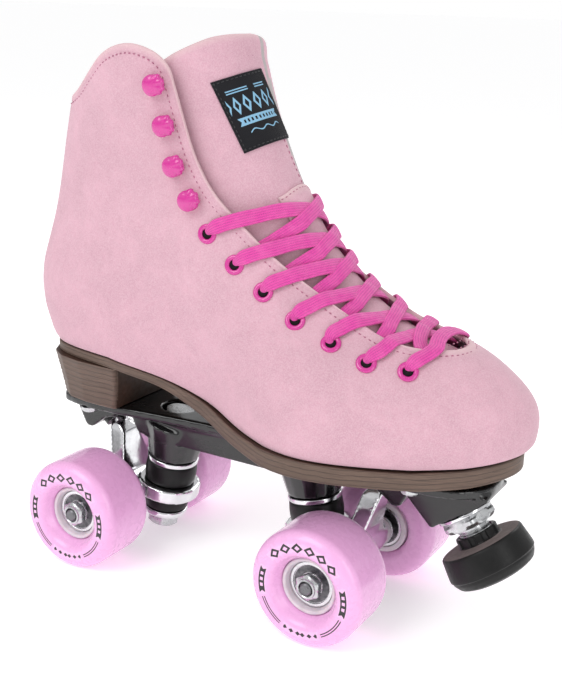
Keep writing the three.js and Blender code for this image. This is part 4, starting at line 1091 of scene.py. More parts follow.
class SKATE_OT_stage(SkateOperator, bpy.types.Operator):
    """Set the camera, the pale floor and the soft light"""
    bl_idname = "skate.stage"
    bl_label = "Stage"

    def execute(self, context):
        settings = context.scene.skate_stage
        scene = context.scene
        camera = linked("camera", bpy.data.cameras.new("camera"))
        camera.data.lens, camera.data.sensor_width = FOCAL_LENGTH, 36
        camera.data.clip_start, camera.data.clip_end = .02, 200
        turn = Matrix(CAMERA_AXES).transposed().to_4x4()
        camera.matrix_world = Matrix.Translation(Vector(in_metres(CAMERA_SPOT))) @ turn
        scene.camera = camera
        pale = tuple(settings.floor)
        paper = Finish("floor_paper", pale, .9, Specular_IOR_Level=.1, Emission_Strength=.3)
        paper.shader.inputs["Emission Color"].default_value = (1, 1, 1, 1)
        paper.color(paper.mix(paper.noise(.004, 2), tint(pale, .995), pale))
        corners = FLOOR_REACH * np.array([(-1, -1, 0), (1, -1, 0), (1, 1, 0), (-1, 1, 0)])
        mesh_piece("floor", corners - TO_FRAME, [(0, 1, 2, 3)], [paper.material])
        world = bpy.data.worlds.new("studio")
        scene.world = world
        world.use_nodes = True
        nodes, links = world.node_tree.nodes, world.node_tree.links
        sky = nodes["Background"]
        split = nodes.new("ShaderNodeSeparateXYZ")
        links.new(nodes.new("ShaderNodeTexCoord").outputs["Generated"], split.inputs[0])
        ramp = nodes.new("ShaderNodeValToRGB")
        links.new(split.outputs[2], ramp.inputs[0])
        stops = ramp.color_ramp.elements
        stops[0].position, stops[0].color = 0, (.50, .50, .52, 1)
        stops[1].position, stops[1].color = 1, (1.0, 1.0, 1.0, 1)
        for place, grey in SKY_GREYS:
            stops.new(place).color = (grey, grey, grey * 1.01, 1)
        links.new(ramp.outputs[0], sky.inputs["Color"])
        sky.inputs["Strength"].default_value = .82
        plain = nodes.new("ShaderNodeBackground")
        plain.inputs["Color"].default_value = (1, 1, 1, 1)
        choose = nodes.new("ShaderNodeMixShader")
        links.new(nodes.new("ShaderNodeLightPath").outputs["Is Camera Ray"], choose.inputs[0])
        links.new(sky.outputs[0], choose.inputs[1])
        links.new(plain.outputs[0], choose.inputs[2])
        links.new(choose.outputs[0], nodes["World Output"].inputs[0])
        for name, place, aim, size, share in LIGHTS:
            light = linked(name, bpy.data.lights.new(name, "AREA"))
            light.data.shape, light.data.size, light.data.size_y = "RECTANGLE", *size
            light.data.energy = settings.key_power * share
            light.location = place
            light.rotation_mode = "QUATERNION"
            light.rotation_quaternion = (Vector(aim) - Vector(place)).to_track_quat("-Z", "Y")
        scene.view_settings.view_transform = "Standard"
        return {"FINISHED"}


# ---- Boot ---------------------------------------------------------------------------------------
def column_grid(top, bottom, distances_top, inner_rows, distances_bottom):
    """Places between a bottom and a top path, with rows at fixed distances from both ends."""
    (ut, zt), (ub, zb) = top, bottom
    ub = ub + np.round((ut - ub) / ROUND) * ROUND
    probe = np.linspace(0, 1, 24)[:, None]
    path = on_last(ub + (ut - ub) * probe, zb + (zt - zb) * probe)
    length = np.linalg.norm(np.diff(path, axis=0), axis=-1).sum(0)
    low, high = distances_bottom[-1], length - distances_top[-1]
    middle = low + (high - low) * np.linspace(0, 1, inner_rows + 2)[1:-1, None]
    rows = [np.full_like(length, d) for d in distances_bottom] + list(middle)
    rows += [length - d for d in distances_top[::-1]]
    rows = np.array(rows)
    share = rows / length
    return ub + (ut - ub) * share, zb + (zt - zb) * share, length - rows, rows


def flap_paths(count, line=None):
    return whole_round(lambda side, n: edge_path(line or COLLAR + FLAP_EDGE, side, n), count)


class SKATE_OT_upper(SkateOperator, bpy.types.Operator):
    """Make the suede upper with its rounded edges and its seams"""
    bl_idname = "skate.upper"
    bl_label = "Upper"

    def execute(self, context):
        boot = context.scene.skate_boot
        half = 150
        top = flap_paths(half)
        bottom = whole_round(lambda side, n: sole_path(side, n, .3), half)
        thick = boot.upper_thickness * 1000
        u, z, from_top, from_bottom = column_grid(top, bottom, [0, .1, .3, .6, 1.0, 1.6, 2.6, 4], 60,
                                                  [0, .3, .8, 1.6])
        rim = roll(from_top, 1.1) * roll(from_bottom, .8)
        point = on_last(u, z)
        soft = (.35 * np.sin(point[..., 0] / 17 + 1.3) * np.sin(point[..., 2] / 13 + point[..., 0] / 41)
                * np.clip(from_top / 25, 0, 1) * np.clip(from_bottom / 20, 0, 1))
        seam = -.5 * np.exp(-((from_top - EDGE_INSET) / .8) ** 2)  # the seam pulls the edge down a little
        tuck = -1.1 * np.exp(-(from_bottom / 3.2) ** 2)
        middle = -thick / 2
        swell = soft + seam + tuck
        front = lifted(u, z, middle + thick / 2 * rim + swell)
        back = lifted(u, z, middle - thick / 2 * rim + .3 * swell)
        upper = padded_sheet("boot_upper_suede", front, back, [finish("suede")], wrap=True,
                             values={"rim": np.maximum(from_top, 0)})
        hold(upper, "skate", "suede", "boot_upper")
        seams = [self.edge_seam(side) for side in SIDES] + [self.throat_bar(x) for x in (112.5, 116.0)]
        stitched("upper_seams", seams, boot.stitch_spacing * 1000, boot.stitch_length * 1000, .62)
        return {"FINISHED"}

    def edge_seam(self, side):
        """The row inside the collar and the flap's edge."""
        u, z = edge_path(COLLAR + FLAP_EDGE, side, 500)
        edge = on_last(u, z)
        inward = unit(np.cross(outward(u, z), np.gradient(edge, axis=0)) * side)
        u, z = settle(u, z, edge + inward * EDGE_INSET)
        keep = (u > .15) & (u < 13.55) if side < 0 else (u < 27.85) & (u > 14.45)
        return seam_at(u[keep], z[keep], STITCH_SINK)

    def throat_bar(self, x):
        """A row across the foot of the throat."""
        u, z = np.linspace(13.0, 15.0, 30), np.full(30, 139.2)
        bowed = x - 1.68 * (u - RIDGE) ** 2
        for _ in range(12):
            z = z + (on_last(u, z)[:, 0] - bowed) * .28
        return seam_at(u, z, .02)


class SKATE_OT_back_stay(SkateOperator, bpy.types.Operator):
    """Make the strip over the back seam, with a row of stitches down each side"""
    bl_idname = "skate.back_stay"
    bl_label = "Back stay"

    def execute(self, context):
        half = 8
        heights = np.concatenate([[109.2, 109.5, 110], np.linspace(111, 229.3, 70), [230.2, 230.7, 231]])
        across = np.array([-8, -7.8, -7.4, -6.8, -6, -4, -2, 0, 2, 4, 6, 6.8, 7.4, 7.8, 8.0])
        z, w = np.meshgrid(heights, across, indexing="ij")
        u = -w / half
        for _ in range(12):
            p = on_last(u, z)
            slope = slopes_at(u, z)[0][..., 1]
            u = u + np.clip((w - p[..., 1]) / slope, -1, 1)
        rim = np.minimum(half - np.abs(w), np.minimum(z - heights[0], heights[-1] - z))
        full = roll(rim, .7)
        front, back = lifted(u, z, .85 + .55 * full), lifted(u, z, .85 - .55 * full)
        stay = padded_sheet("back_stay_suede", front, back, [finish("suede")], values={"rim": rim + .4})
        hold(stay, "skate", "suede", "back_stay")
        seams = [seam_at(u[3:-3, column], z[3:-3, column], 1.38) for column in (3, len(across) - 4)]
        stitched("back_stay_seams", seams, 2.7, 1.5, .6)
        return {"FINISHED"}


class SKATE_OT_lining(SkateOperator, bpy.types.Operator):
    """Make the padded lining inside the boot and finish the insole"""
    bl_idname = "skate.lining"
    bl_label = "Lining and insole"

    def execute(self, context):
        edge = [(x - 23.8, z - 23.8) for x, z in FLAP_EDGE]
        collar = [(x, z - 2) for x, z in COLLAR if x < edge[0][0] - 2]
        top = flap_paths(110, collar + edge + [(112, 117), (139, 124)])
        bottom = whole_round(lambda side, n: sole_path(side, n, .6), 110)
        u, z, from_top, from_bottom = column_grid(top, bottom, [0, .2, .5, 1, 1.8, 3], 30, [0, .5, 1.2])
        full = roll(from_top, 1.4) * roll(from_bottom, .8)
        mouth = np.clip((z - 226) / 12, 0, 1)
        plump = .35 * mouth * np.exp(-((from_top - 6) / 5) ** 2)
        front, back = lifted(u, z, -3.4 + .85 * full), lifted(u, z, -3.4 - (.85 + plump) * full)
        cloth = padded_sheet("boot_lining_cloth", front, back, [finish("lining")], wrap=True)
        hold(cloth, "skate", "lining", "boot_lining")
        board = Finish("insole_board", (.36, .32, .28), .9)
        board.color(board.mix(board.spread(board.noise(.6, 5), .3, .7), (.28, .25, .21), (.44, .40, .35)))
        board.bump(board.noise(1.5, 3), .15)
        wear("insole", board.material)
        return {"FINISHED"}


def tongue_face(u, z):
    """Lift of the tongue's front: full in the middle, dropping to its sides."""
    away = np.abs(np.asarray(u) - RIDGE)
    high = np.clip((np.asarray(z) - 196) / 20, 0, 1)
    return TONGUE_FACE + .9 * high * np.exp(-(away / 3.2) ** 2)


def far_edge(z):
    """Where the tongue's pink face gives way to its grey binding."""
    return np.interp(z, [150, 200, 225, 245, 262], [17.5, 15.2, 14.7, 14.3, 14.05])


class SKATE_OT_tongue(SkateOperator, bpy.types.Operator):
    """Make the padded tongue, its bound far edge, its top seam and its lace keeper"""
    bl_idname = "skate.tongue"
    bl_label = "Tongue"

    def execute(self, context):
        hidden = smooth_line([(x - 9.1, z - 9.1) for x, z in FLAP_EDGE] + [(118, 130.5)], 300)[::-1]
        shares = np.concatenate([[0, .002, .006, .012, .022], np.linspace(.035, .93, 90),
                                 [.95, .965, .978, .988, .994, .998, 1]])
        across = np.concatenate([[0, .006, .016, .032, .055, .085], np.linspace(.12, 1, 34)])
        (ru, rz), (lu, lz) = [self.half(side, hidden, shares, across) for side in SIDES]
        ridge_z = (rz[:, -1:] + lz[:, -1:]) / 2
        u = np.hstack([ru, lu[:, -2::-1]])
        z = np.hstack([rz[:, :-1], ridge_z, lz[:, -2::-1]])
        point = on_last(u, z)
        side_step = np.linalg.norm(np.diff(point, axis=1), axis=-1)
        up_step = np.linalg.norm(np.diff(point, axis=0), axis=-1)
        side_in = np.cumsum(np.pad(side_step, ((0, 0), (1, 0))), axis=1)
        up = np.cumsum(np.pad(up_step, ((1, 0), (0, 0))), axis=0)
        rim = np.minimum(np.minimum(side_in, side_in[:, -1:] - side_in), np.minimum(up, up[-1:] - up))
        full = roll(rim, 2.4)
        face = tongue_face(u, z)
        top_gap = up[-1:] - up
        seam = -.55 * np.exp(-((top_gap - 9) / 1.1) ** 2)
        puff = .5 * np.clip((z - 205) / 25, 0, 1) * np.exp(-((top_gap - 4) / 3.2) ** 2)
        ripple = .35 * np.sin(point[..., 2] / 5.2 + point[..., 1] / 9) * np.clip((206 - z) / 30, 0, 1)
        middle = face - 2
        front = lifted(u, z, middle + (2 + seam + puff + ripple) * full)
        back = lifted(u, z, middle - 2 * full)
        far = (u - far_edge(z)) * 7.0
        tongue = padded_sheet("tongue_padded", front, back, [finish("suede"), finish("lining")],
                              values={"rim": np.maximum(rim, .5), "far": far})
        fronts = (front.shape[0] - 1) * (front.shape[1] - 1)
        self.bind(tongue.data, fronts)
        hold(tongue, "skate", "suede", "tongue")
        row = int(np.argmin(np.abs((up[-1, 20] - up[:, 20]) - 9)))
        cut = slice(4, int(np.argmax(far[row] > -3)))
        top_u, top_z = u[row, cut], z[row, cut]
        side_z = np.linspace(253, 206, 120)
        side_u = far_edge(side_z) - .25
        seams = [seam_at(top_u, top_z, tongue_face(top_u, top_z) - .45),
                 seam_at(side_u, side_z, tongue_face(side_u, side_z) + .1)]
        stitched("tongue_seams", seams, 2.9, 1.6, .6)
        self.keeper()
        return {"FINISHED"}

    def half(self, side, hidden, shares, across):
        """Places on one half, from its hidden edge to the ridge."""
        s = along(hidden)
        s = s / s[-1]
        x, hz = np.interp(shares, s, hidden[:, 0]), np.interp(shares, s, hidden[:, 1])
        hu = round_at(x, hz, side)
        crown = [(x, z - (0 if side < 0 else drop)) for (x, z), drop in zip(TONGUE_TOP, FAR_DROP)]
        arch = smooth_line([(hidden[-1, 0] - .5, hidden[-1, 1] + 1), *crown], 300)
        au = round_at(arch[:, 0], arch[:, 1], side)
        am = along(on_last(au, arch[:, 1]))
        am = am / am[-1]
        top_u, top_z = np.interp(across, am, au), np.interp(across, am, arch[:, 1])
        top_u = top_u + (RIDGE - top_u[-1]) * across ** 6
        rise = np.interp(shares, [0, .12, .4, .7, .88, 1], [5, 12, 22, 16, 10, 8])
        base_u = hu[:, None] + (RIDGE - hu[:, None]) * across
        base_z = hz[:, None] + rise[:, None] * np.sin(across * np.pi / 2)
        lead = np.clip((shares - .62) / .38, 0, 1)[:, None]
        lead = lead * lead * (3 - 2 * lead)
        return base_u + lead * (top_u - base_u[-1]), base_z + lead * (top_z - base_z[-1])

    def bind(self, mesh, fronts):
        """Gives the back and the binding of the far edge the lining's finish."""
        amount = np.zeros(len(mesh.vertices), np.float32)
        mesh.attributes["far"].data.foreach_get("value", amount)
        for number, polygon in enumerate(mesh.polygons):
            here = amount[list(polygon.vertices)]
            polygon.material_index = int(number >= fronts or (here.min() > 0 and here.max() < 9))

    def keeper(self):
        """A stitched tab across the tongue that keeps the lace in the middle."""
        wide = [0, .02, .05, .1, *np.linspace(.15, .85, 22), .9, .95, .98, 1]
        tall = [0, .02, .06, .12, *np.linspace(.2, .8, 9), .88, .94, .98, 1]
        a, b = np.meshgrid(wide, tall, indexing="ij")

        def spot(a, b):
            return 11.4 + 5.2 * a, 188.5 + 11 * b + 5.5 * np.sin(np.pi * a)

        u, z = spot(a, b)
        rim = np.minimum(np.minimum(a, 1 - a) * 26, np.minimum(b, 1 - b) * 11)
        lift = tongue_face(u, z) + .55 + .5 * np.sin(np.pi * a)
        full = roll(rim, .7)
        tab = padded_sheet("lace_keeper", lifted(u, z, lift + .55 * full), lifted(u, z, lift - .55 * full),
                           [finish("suede")], values={"rim": rim})
        hold(tab, "skate", "suede")
        seams = []
        share = np.linspace(.04, .96, 60)
        for row in (.12, .88):
            u, z = spot(share, row)
            seams.append(seam_at(u, z, tongue_face(u, z) + 1.08 + .5 * np.sin(np.pi * share)))
        stitched("lace_keeper_seams", seams, 2.4, 1.4, .5)


LABEL_CORNERS = np.array([  # top right, low right, low left, top left
    (-6.7, -23.4, 247.4), (9.1, -18.3, 216.4), (16.5, 8.8, 222.0), (4.7, -.9, 253.5)])
LABEL_TALL, LABEL_WIDE = 35.0, 25.0


class SKATE_OT_label(SkateOperator, bpy.types.Operator):
    """Sew the plain woven label askew on the tongue"""
    bl_idname = "skate.label"
    bl_label = "Label"

    def execute(self, context):
        ends = np.array([0, .008, .02, .04])
        share = np.array([*ends, *np.linspace(.07, .93, 26), *(1 - ends)[::-1]])
        down, across = np.meshgrid(share, share, indexing="ij")
        u, z = self.place(down, across)
        rim = np.minimum(np.minimum(down, 1 - down) * LABEL_TALL,
                         np.minimum(across, 1 - across) * LABEL_WIDE)
        full = roll(rim, .5)
        lift = tongue_face(u, z) + .62
        patch = np.stack([across * LABEL_WIDE, down * LABEL_TALL, np.zeros_like(down)], -1)
        label = padded_sheet("tongue_label_woven", lifted(u, z, lift + .35 * full),
                             lifted(u, z, lift - .35 * full), [finish("label")], values={"patch": patch})
        hold(label, "skate", "label", "tongue_label")
        line, one = np.linspace(.04, .96, 50), np.ones(50)
        seams = []
        for down, across in ((one * .035, line), (one * .965, line), (line, one * .05), (line, one * .95)):
            u, z = self.place(down, across)
            seams.append(seam_at(u, z, tongue_face(u, z) + 1.0))
        stitched("tongue_label_seams", seams, 2.2, 1.4, .45, "label", "black thread")
        return {"FINISHED"}

    def place(self, down, across):
        """Places on the tongue from shares of the label's height and width."""
        top_right, low_right, low_left, top_left = LABEL_CORNERS
        a, b = down[..., None], across[..., None]
        flat = ((1 - a) * (1 - b)) * top_right + (a * (1 - b)) * low_right
        flat = flat + (a * b) * low_left + ((1 - a) * b) * top_left
        return settle(np.full_like(down, 12.6), flat[..., 2], flat, TONGUE_FACE, 20)


# ---- Lacing -------------------------------------------------------------------------------------
def fittings(spots):
    """Places round the last and heights of a row, on the right and on the left."""
    x, z = np.array(spots, float).T
    return [np.stack([round_at(x, z, side), z], 1) for side in SIDES]


def set_row(name, spots, lift, parts, fitting_size):
    """Sets fittings on both sides; parts holds (object, finish), headed for the flap's edge."""
    for side, word, row in zip(SIDES, ("right", "left"), fittings(spots)):
        u, z = row.T
        out = outward(u, z)
        head = unit(np.cross(np.gradient(on_last(u, z), axis=0), out) * -side)
        made = [grown(f"{name}_row_{word}", lifted(u, z, lift), [], out, head, fitting_tree(),
                      {"Fitting": body, "Size": fitting_size, "Material": finish(kind)})
                for body, kind in parts]
        yield word, made
    for body, _ in parts:
        bpy.data.objects.remove(body)


def eyelet_body():
    """A rolled eyelet ring; the dark disc set inside it is painted shade."""
    profile = [(2.3, -.6), (2.45, .55)]
    for t in np.linspace(-.15, 1, 12):
        angle = math.pi * (1 - t)
        profile.append((3.55 + 1.15 * math.cos(angle), .25 + .95 * math.sin(angle)))
    profile += [(4.55, -.35), (3.2, -.6)]
    return turned("eyelet_ring", profile, -TO_FRAME, (0, 0, 1), [], 40)


def hook_body():
    """A speed hook: round shoulders at the back, a slot and short ribs at the mouth."""
    heights = [0, .25, .7, 1.0, 1.25, 1.5, 2.0, 2.5, 3.0, 3.3, 3.6, 4.0, 4.5, 5.0, 5.4, 5.7, 5.9, 6.0]
    radii = [4.4, 4.7, 4.8, 4.75, 4.6, 4.55, 4.55, 4.6, 4.75, 4.85, 4.9, 4.85, 4.65, 4.2, 3.5, 2.5, 1.3, .0]
    profile = np.array([(0, 0)] + list(zip(radii, heights)))

    def shape(radius, height, angle):
        # angle 0 lies along the heading
        turn = (angle + np.pi) % (2 * np.pi) - np.pi
        front = np.clip(1 - (np.abs(turn) / 1.15) ** 4, 0, 1)
        slot = np.clip(1 - np.abs(height - 1.9) / .9, 0, 1) ** .3
        reach = np.clip((height - 2.7) / .3, 0, 1) * np.clip((6.1 - height) / .7, 0, 1)
        ribs = .3 * np.sign(np.sin(turn * 11)) * reach
        return np.maximum(radius - front * slot * 3.0 + front * (reach * 1.5 + ribs), 0) * (radius > .01)

    return turned("hook_cap", profile, -TO_FRAME, (0, 0, 1), [], 72, closed=False, shape=shape)


class SKATE_OT_eyelets(SkateOperator, bpy.types.Operator):
    """Set a rolled eyelet at every lace hole"""
    bl_idname = "skate.eyelets"
    bl_label = "Eyelets"

    def execute(self, context):
        ring = eyelet_body()
        # painted shade: a near-black disc in each eyelet's barrel stands for the shade down the hole
        disc = turned("eyelet_dark", [(0, -.3), (2.6, -.3), (2.6, .42), (0, .42)], -TO_FRAME, (0, 0, 1), [],
                      24, closed=False)
        for side, made in set_row("eyelet", EYELET_SPOTS, .08, [(ring, "enamel"), (disc, "backing")],
                                  context.scene.skate_lacing.fitting_size):
            hold(joined(f"eyelet_row_{side}", made), "skate", "enamel", f"eyelets_{side}")
        return {"FINISHED"}


class SKATE_OT_hooks(SkateOperator, bpy.types.Operator):
    """Set the speed hooks above the eyelets"""
    bl_idname = "skate.hooks"
    bl_label = "Speed hooks"

    def execute(self, context):
        for side, (row,) in set_row("hook", HOOK_SPOTS, .05, [(hook_body(), "enamel")],
                                    context.scene.skate_lacing.fitting_size):
            hold(crease(row, 40), "skate", "enamel", f"hooks_{side}")
        return {"FINISHED"}


def is_open(point):
    """Whether points seen from the side lie between the flaps."""
    line = smooth_line(FLAP_EDGE, 200)
    edge = np.interp(point[:, 0], line[:, 0], line[:, 1])
    return (point[:, 2] > edge) & (point[:, 0] > line[0, 0]) & (point[:, 0] < line[-1, 0])


class SKATE_OT_lace(SkateOperator, bpy.types.Operator):
    """Lace the boot with a flat woven lace, crossing over the tongue"""
    bl_idname = "skate.lace"
    bl_label = "Lace"

    def execute(self, context):
        settings = context.scene.skate_lacing
        right, left = fittings(EYELET_SPOTS)
        points, faces, weave = [], [], []
        count, travelled = 0, 0.0
        last = len(EYELET_SPOTS) - 1
        for i, rise in enumerate([20, 19, 18.5, 17.5, 15.5, 13.5, 11]):
            if i < last:
                pairs = ((right[i], left[i + 1], False), (left[i], right[i + 1], True))
            else:
                pairs = ((right[i], left[i], False),)
            for start, end, high in pairs:
                made = self.strand(start, end, rise, high, i == last, travelled, settings)
                points.append(made[0])
                faces += [[v + count for v in face] for face in made[1]]
                weave.append(made[2])
                travelled = made[3]
                count += len(made[0])
        lace = mesh_piece("lace_woven", np.vstack(points), faces, [finish("lace")],
                          values={"weave": np.vstack(weave)})
        hold(outward_facing(lace), "skate", "lace", "lace")
        return {"FINISHED"}

    def lift_along(self, s, open_here, high, bar):
        """How far a strand lies off the last: out of its eyelet, over the flap and down to the tongue."""
        on_flap = 1.45
        if bar or not open_here.any():
            return np.interp(s, [0, .02, .07, .14, .86, .93, .98, 1],
                             [-1.2, 1.4, 2.15, on_flap, on_flap, 2.15, 1.4, -1.2])
        leave, dive = s[np.argmax(open_here)], s[len(s) - 1 - np.argmax(open_here[::-1])]
        rest = TONGUE_FACE + 1.75
        peak = 1.5 if high else .1
        return np.interp(s, [0, .012, .04, max(.1, leave - .015), leave + .05, .4, .5, .6, dive - .035,
                             dive + .01, 1],
                         [-1.2, 1.3, 2.15, on_flap, -1.2 + .5 * peak, rest + .7 * peak, rest + peak,
                          rest + .7 * peak, -3.5, -3.75, -3.5])

    def strand(self, start, end, rise, high, bar, travelled, settings):
        """One run of the lace; a bar goes straight across and dips into an eyelet at both ends."""
        count = 150
        s = np.linspace(0, 1, count)
        u = start[0] + (end[0] - start[0]) * s
        z = start[1] + (end[1] - start[1]) * s + rise * np.sin(np.pi * s) ** .7
        lift = self.lift_along(s, is_open(on_last(u, z)), high, bar)
        kernel = np.hanning(9)
        kernel /= kernel.sum()
        lift = np.convolve(np.pad(lift, 4, mode="edge"), kernel, "valid")
        spine = lifted(u, z, lift)
        gap = along(spine)
        even = np.linspace(0, gap[-1], count)
        spine = np.stack([np.interp(even, gap, spine[:, k]) for k in range(3)], 1)
        u, z = np.interp(even, gap, u), np.interp(even, gap, z)
        n = outward(u, z)
        ahead = unit(np.gradient(spine, axis=0))
        side = unit(np.cross(ahead, n))
        up = np.cross(side, ahead)
        half_width, half_thick = settings.lace_width * 500, settings.lace_thickness * 500
        from_eyelet = np.minimum(even, gap[-1] - even) if bar else even
        narrow = .46 + .54 * np.clip(from_eyelet / 6.5, 0, 1) ** .8
        around = np.linspace(0, 2 * np.pi, 28, endpoint=False)
        cx = np.sign(np.cos(around)) * np.abs(np.cos(around)) ** .8
        cy = np.sign(np.sin(around)) * np.abs(np.sin(around)) ** .55
        wobble = 1 + .02 * np.sin(even / 2.7)[:, None]
        x = half_width * narrow[:, None] * cx * wobble
        sag = .25 * (cx ** 2)  # a flat lace cups a little over what it lies on
        thick = half_thick * (1 + .5 * (1 - narrow[:, None]))
        y = thick * cy - sag * narrow[:, None]
        ring = spine[:, None] + x[..., None] * side[:, None] + y[..., None] * up[:, None]
        rows, cols = ring.shape[:2]
        index = numbered(rows, cols)
        faces = [*grid_quads(index, True), index[0][::-1], index[-1]]
        weave = np.stack([cx * half_width * np.ones((rows, 1)), (even + travelled)[:, None] * np.ones(cols),
                          np.zeros((rows, cols))], -1)
        return ring.reshape(-1, 3), faces, weave.reshape(-1, 3), travelled + gap[-1]


# ---- Sole and heel ------------------------------------------------------------------------------
SOLE_OUTLINE = (90, -113, 145, 31, 32.5, 51, 36.5)  # a station of its own
SOLE_LIFT = 2.35  # from one line in the edge of the sole to the next
HEEL_LIFTS = 8


class SKATE_OT_sole(SkateOperator, bpy.types.Operator):
    """Make the stacked sole and heel with their pressed lines"""
    bl_idname = "skate.sole"
    bl_label = "Sole and heel"

    def execute(self, context):
        finishes = [finish("stack"), finish("sole face")]
        count = 480
        plan = closed_curve(girth_points(SOLE_OUTLINE), np.arange(count) / count)
        slope = np.gradient(plan, axis=0)
        out = unit(np.stack([slope[:, 1], -slope[:, 0]], 1))
        t = np.array([0, .02, .06, .12, *np.linspace(.18, .82, 20), .88, .94, .98, 1])
        inset = 1.0 * (1 - roll(np.minimum(t, 1 - t) * 8, 1.0)) + .1
        rows = []
        for share, cut in zip(t, inset):
            p = plan - out * cut
            low, high = height_on(SOLE_UNDER, p[:, 0]), height_on(SOLE_TOP, p[:, 0])
            rows.append(np.column_stack([p, low + (high - low) * share]))
        rows = np.array(rows)
        index = numbered(len(rows), count)
        points, faces = [rows.reshape(-1, 3)], list(grid_quads(index, True))
        which = [0] * len(faces)
        layers = (rows[..., 2] - height_on(SOLE_UNDER, rows[..., 0])) / SOLE_LIFT + .12
        lift = layers.reshape(-1)
        total = index.size
        for row, line, flip in ((rows[0], SOLE_UNDER, False), (rows[-1], SOLE_TOP, True)):
            half = count // 2
            near, far = row[1:half], row[:half:-1]
            first = index[-1] if flip else index[0]
            shares = np.linspace(0, 1, 9)
            grid = near[:, None, :2] * (1 - shares)[:, None] + far[:, None, :2] * shares[:, None]
            heights = height_on(line, grid[..., 0])
            inner = np.concatenate([grid, heights[..., None]], -1)[:, 1:-1]
            ids = np.zeros((half - 1, 9), int)
            ids[:, 0], ids[:, -1] = first[1:half], first[:half:-1]
            added = numbered(*inner.shape[:2])
            ids[:, 1:-1] = total + added
            total += added.size
            points.append(inner.reshape(-1, 3))
            lift = np.concatenate([lift, np.zeros(added.size)])
            quads = grid_quads(ids)
            caps = [[first[0], *ids[0][::-1]], [first[half], *ids[-1]]]
            if flip:
                quads = quads[:, ::-1]
                caps = [c[::-1] for c in caps]
            faces += list(quads) + caps
            which += [1] * (len(quads) + 2)
        sole = mesh_piece("outsole_stacked", np.vstack(points), faces, finishes, which, {"lift": lift})
        hold(outward_facing(sole), "skate", "stacked_leather", "outsole")
        self.heel(finishes)
        return {"FINISHED"}

    def heel(self, finishes):
        """Eight lifts with a groove between them; the breast is a cut face without the lines."""
        levels = np.linspace(79.1, 102.9, HEEL_LIFTS * 5 + 1)
        layer = (levels - levels[0]) / (levels[-1] - levels[0]) * HEEL_LIFTS
        groove = .16 * np.exp(-(np.minimum(layer % 1, 1 - layer % 1) / .09) ** 2)
        rim = .5 * (1 - roll(np.minimum(levels - levels[0], levels[-1] - levels[0] + 1), .8))
        rings = []
        for z, cut in zip(levels, groove + rim):
            back = np.interp(z, [79, 91, 103], [-107.5, -110.5, -113]) + cut
            breast = np.interp(z, [79, 91, 103], [-62.5, -60, -58])
            half = np.interp(z, [79, 91, 103], [25.5, 27.5, 30.5]) - cut
            long = breast - back
            flank = [(0, 0), (.008, .18), (.03, .35), (.13, .68), (.3, .9), (.55, 1), (.8, 1.02),
                     (.985, 1.02)]
            right = [(back + a * long, -b * half) for a, b in flank] + [(breast, -.985 * half)]
            front = [(breast, -half * k) for k in (.6, .2, -.2, -.6)]
            left = [(x, -y) for x, y in right[:0:-1]]
            line = np.array(right + front + left)
            ring = evenly(np.vstack([line, line[:1]]), 201)[:-1]
            rings.append(np.column_stack([ring, np.full(200, z)]))
        rings = np.array(rings)
        rows, cols = rings.shape[:2]
        index = numbered(rows, cols)
        x, y, z = rings[:-1].reshape(-1, 3).T
        breast_face = (x > -64.5 + (z - 79) * .16) & (np.abs(y) < 24 + (z - 79) * .18)
        faces = [*grid_quads(index, True), index[0][::-1], index[-1]]
        which = [*breast_face.astype(int), 1, 1]
        heel = mesh_piece("heel_stacked", rings.reshape(-1, 3), faces, finishes, which,
                          {"lift": np.repeat(layer, cols)})
        crease(outward_facing(heel), 40)
        hold(heel, "skate", "stacked_leather", "heel_block")


# ---- Plate, bolts and toe stop ------------------------------------------------------------------
def hexagonal(across):
    """Makes a turned piece six-sided where it is wider than its flats."""
    def shape(radius, height, angle):
        corner = across / 2 / np.cos((angle % (np.pi / 3)) - np.pi / 6)
        six = np.minimum(np.minimum(corner, across / 2 * 1.125), radius)
        return np.where(radius > across / 2 - .01, six, radius * np.ones_like(angle))
    return shape


def hex_nut(name, base, axis, across, height, bore, lock=False):
    """A chamfered nut; a lock nut has a collar over its insert."""
    r = across / 2
    top = r * 1.13
    corners = [(bore, .5), (bore + .5, 0), (r * .97, 0), (top, r * .13), (top, height - r * .13),
               (r * .97, height), (bore + .5, height), (bore, height - .5)]
    if lock:
        corners = corners[:5] + [(r * .93, height - .2), (r * .84, height), (r * .8, height + .9),
                                 (bore + .5, height + 1.1), (bore + .1, height + .8)]
    return crease(turned(name, corners, base, axis, [finish("zinc")], shape=hexagonal(across)), 28)


class SKATE_OT_plate(SkateOperator, bpy.types.Operator):
    """Give the moulded plate its soft corners and finish its bolts"""
    bl_idname = "skate.plate"
    bl_label = "Plate and bolts"

    def execute(self, context):
        plate = cast_copy("plate_moulded", "plate", .0009, 5, finish("nylon"))
        hold(plate, "skate", "nylon", "plate")
        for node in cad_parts:
            if node.startswith("mount_bolt"):
                wear(node, finish("zinc"))
        return {"FINISHED"}


STOP_LEAN = math.radians(35)
STOP_SEAT = np.array([121.6, 0, 61.4])  # where the stem leaves the plate
PAD_RADIUS = 21.5


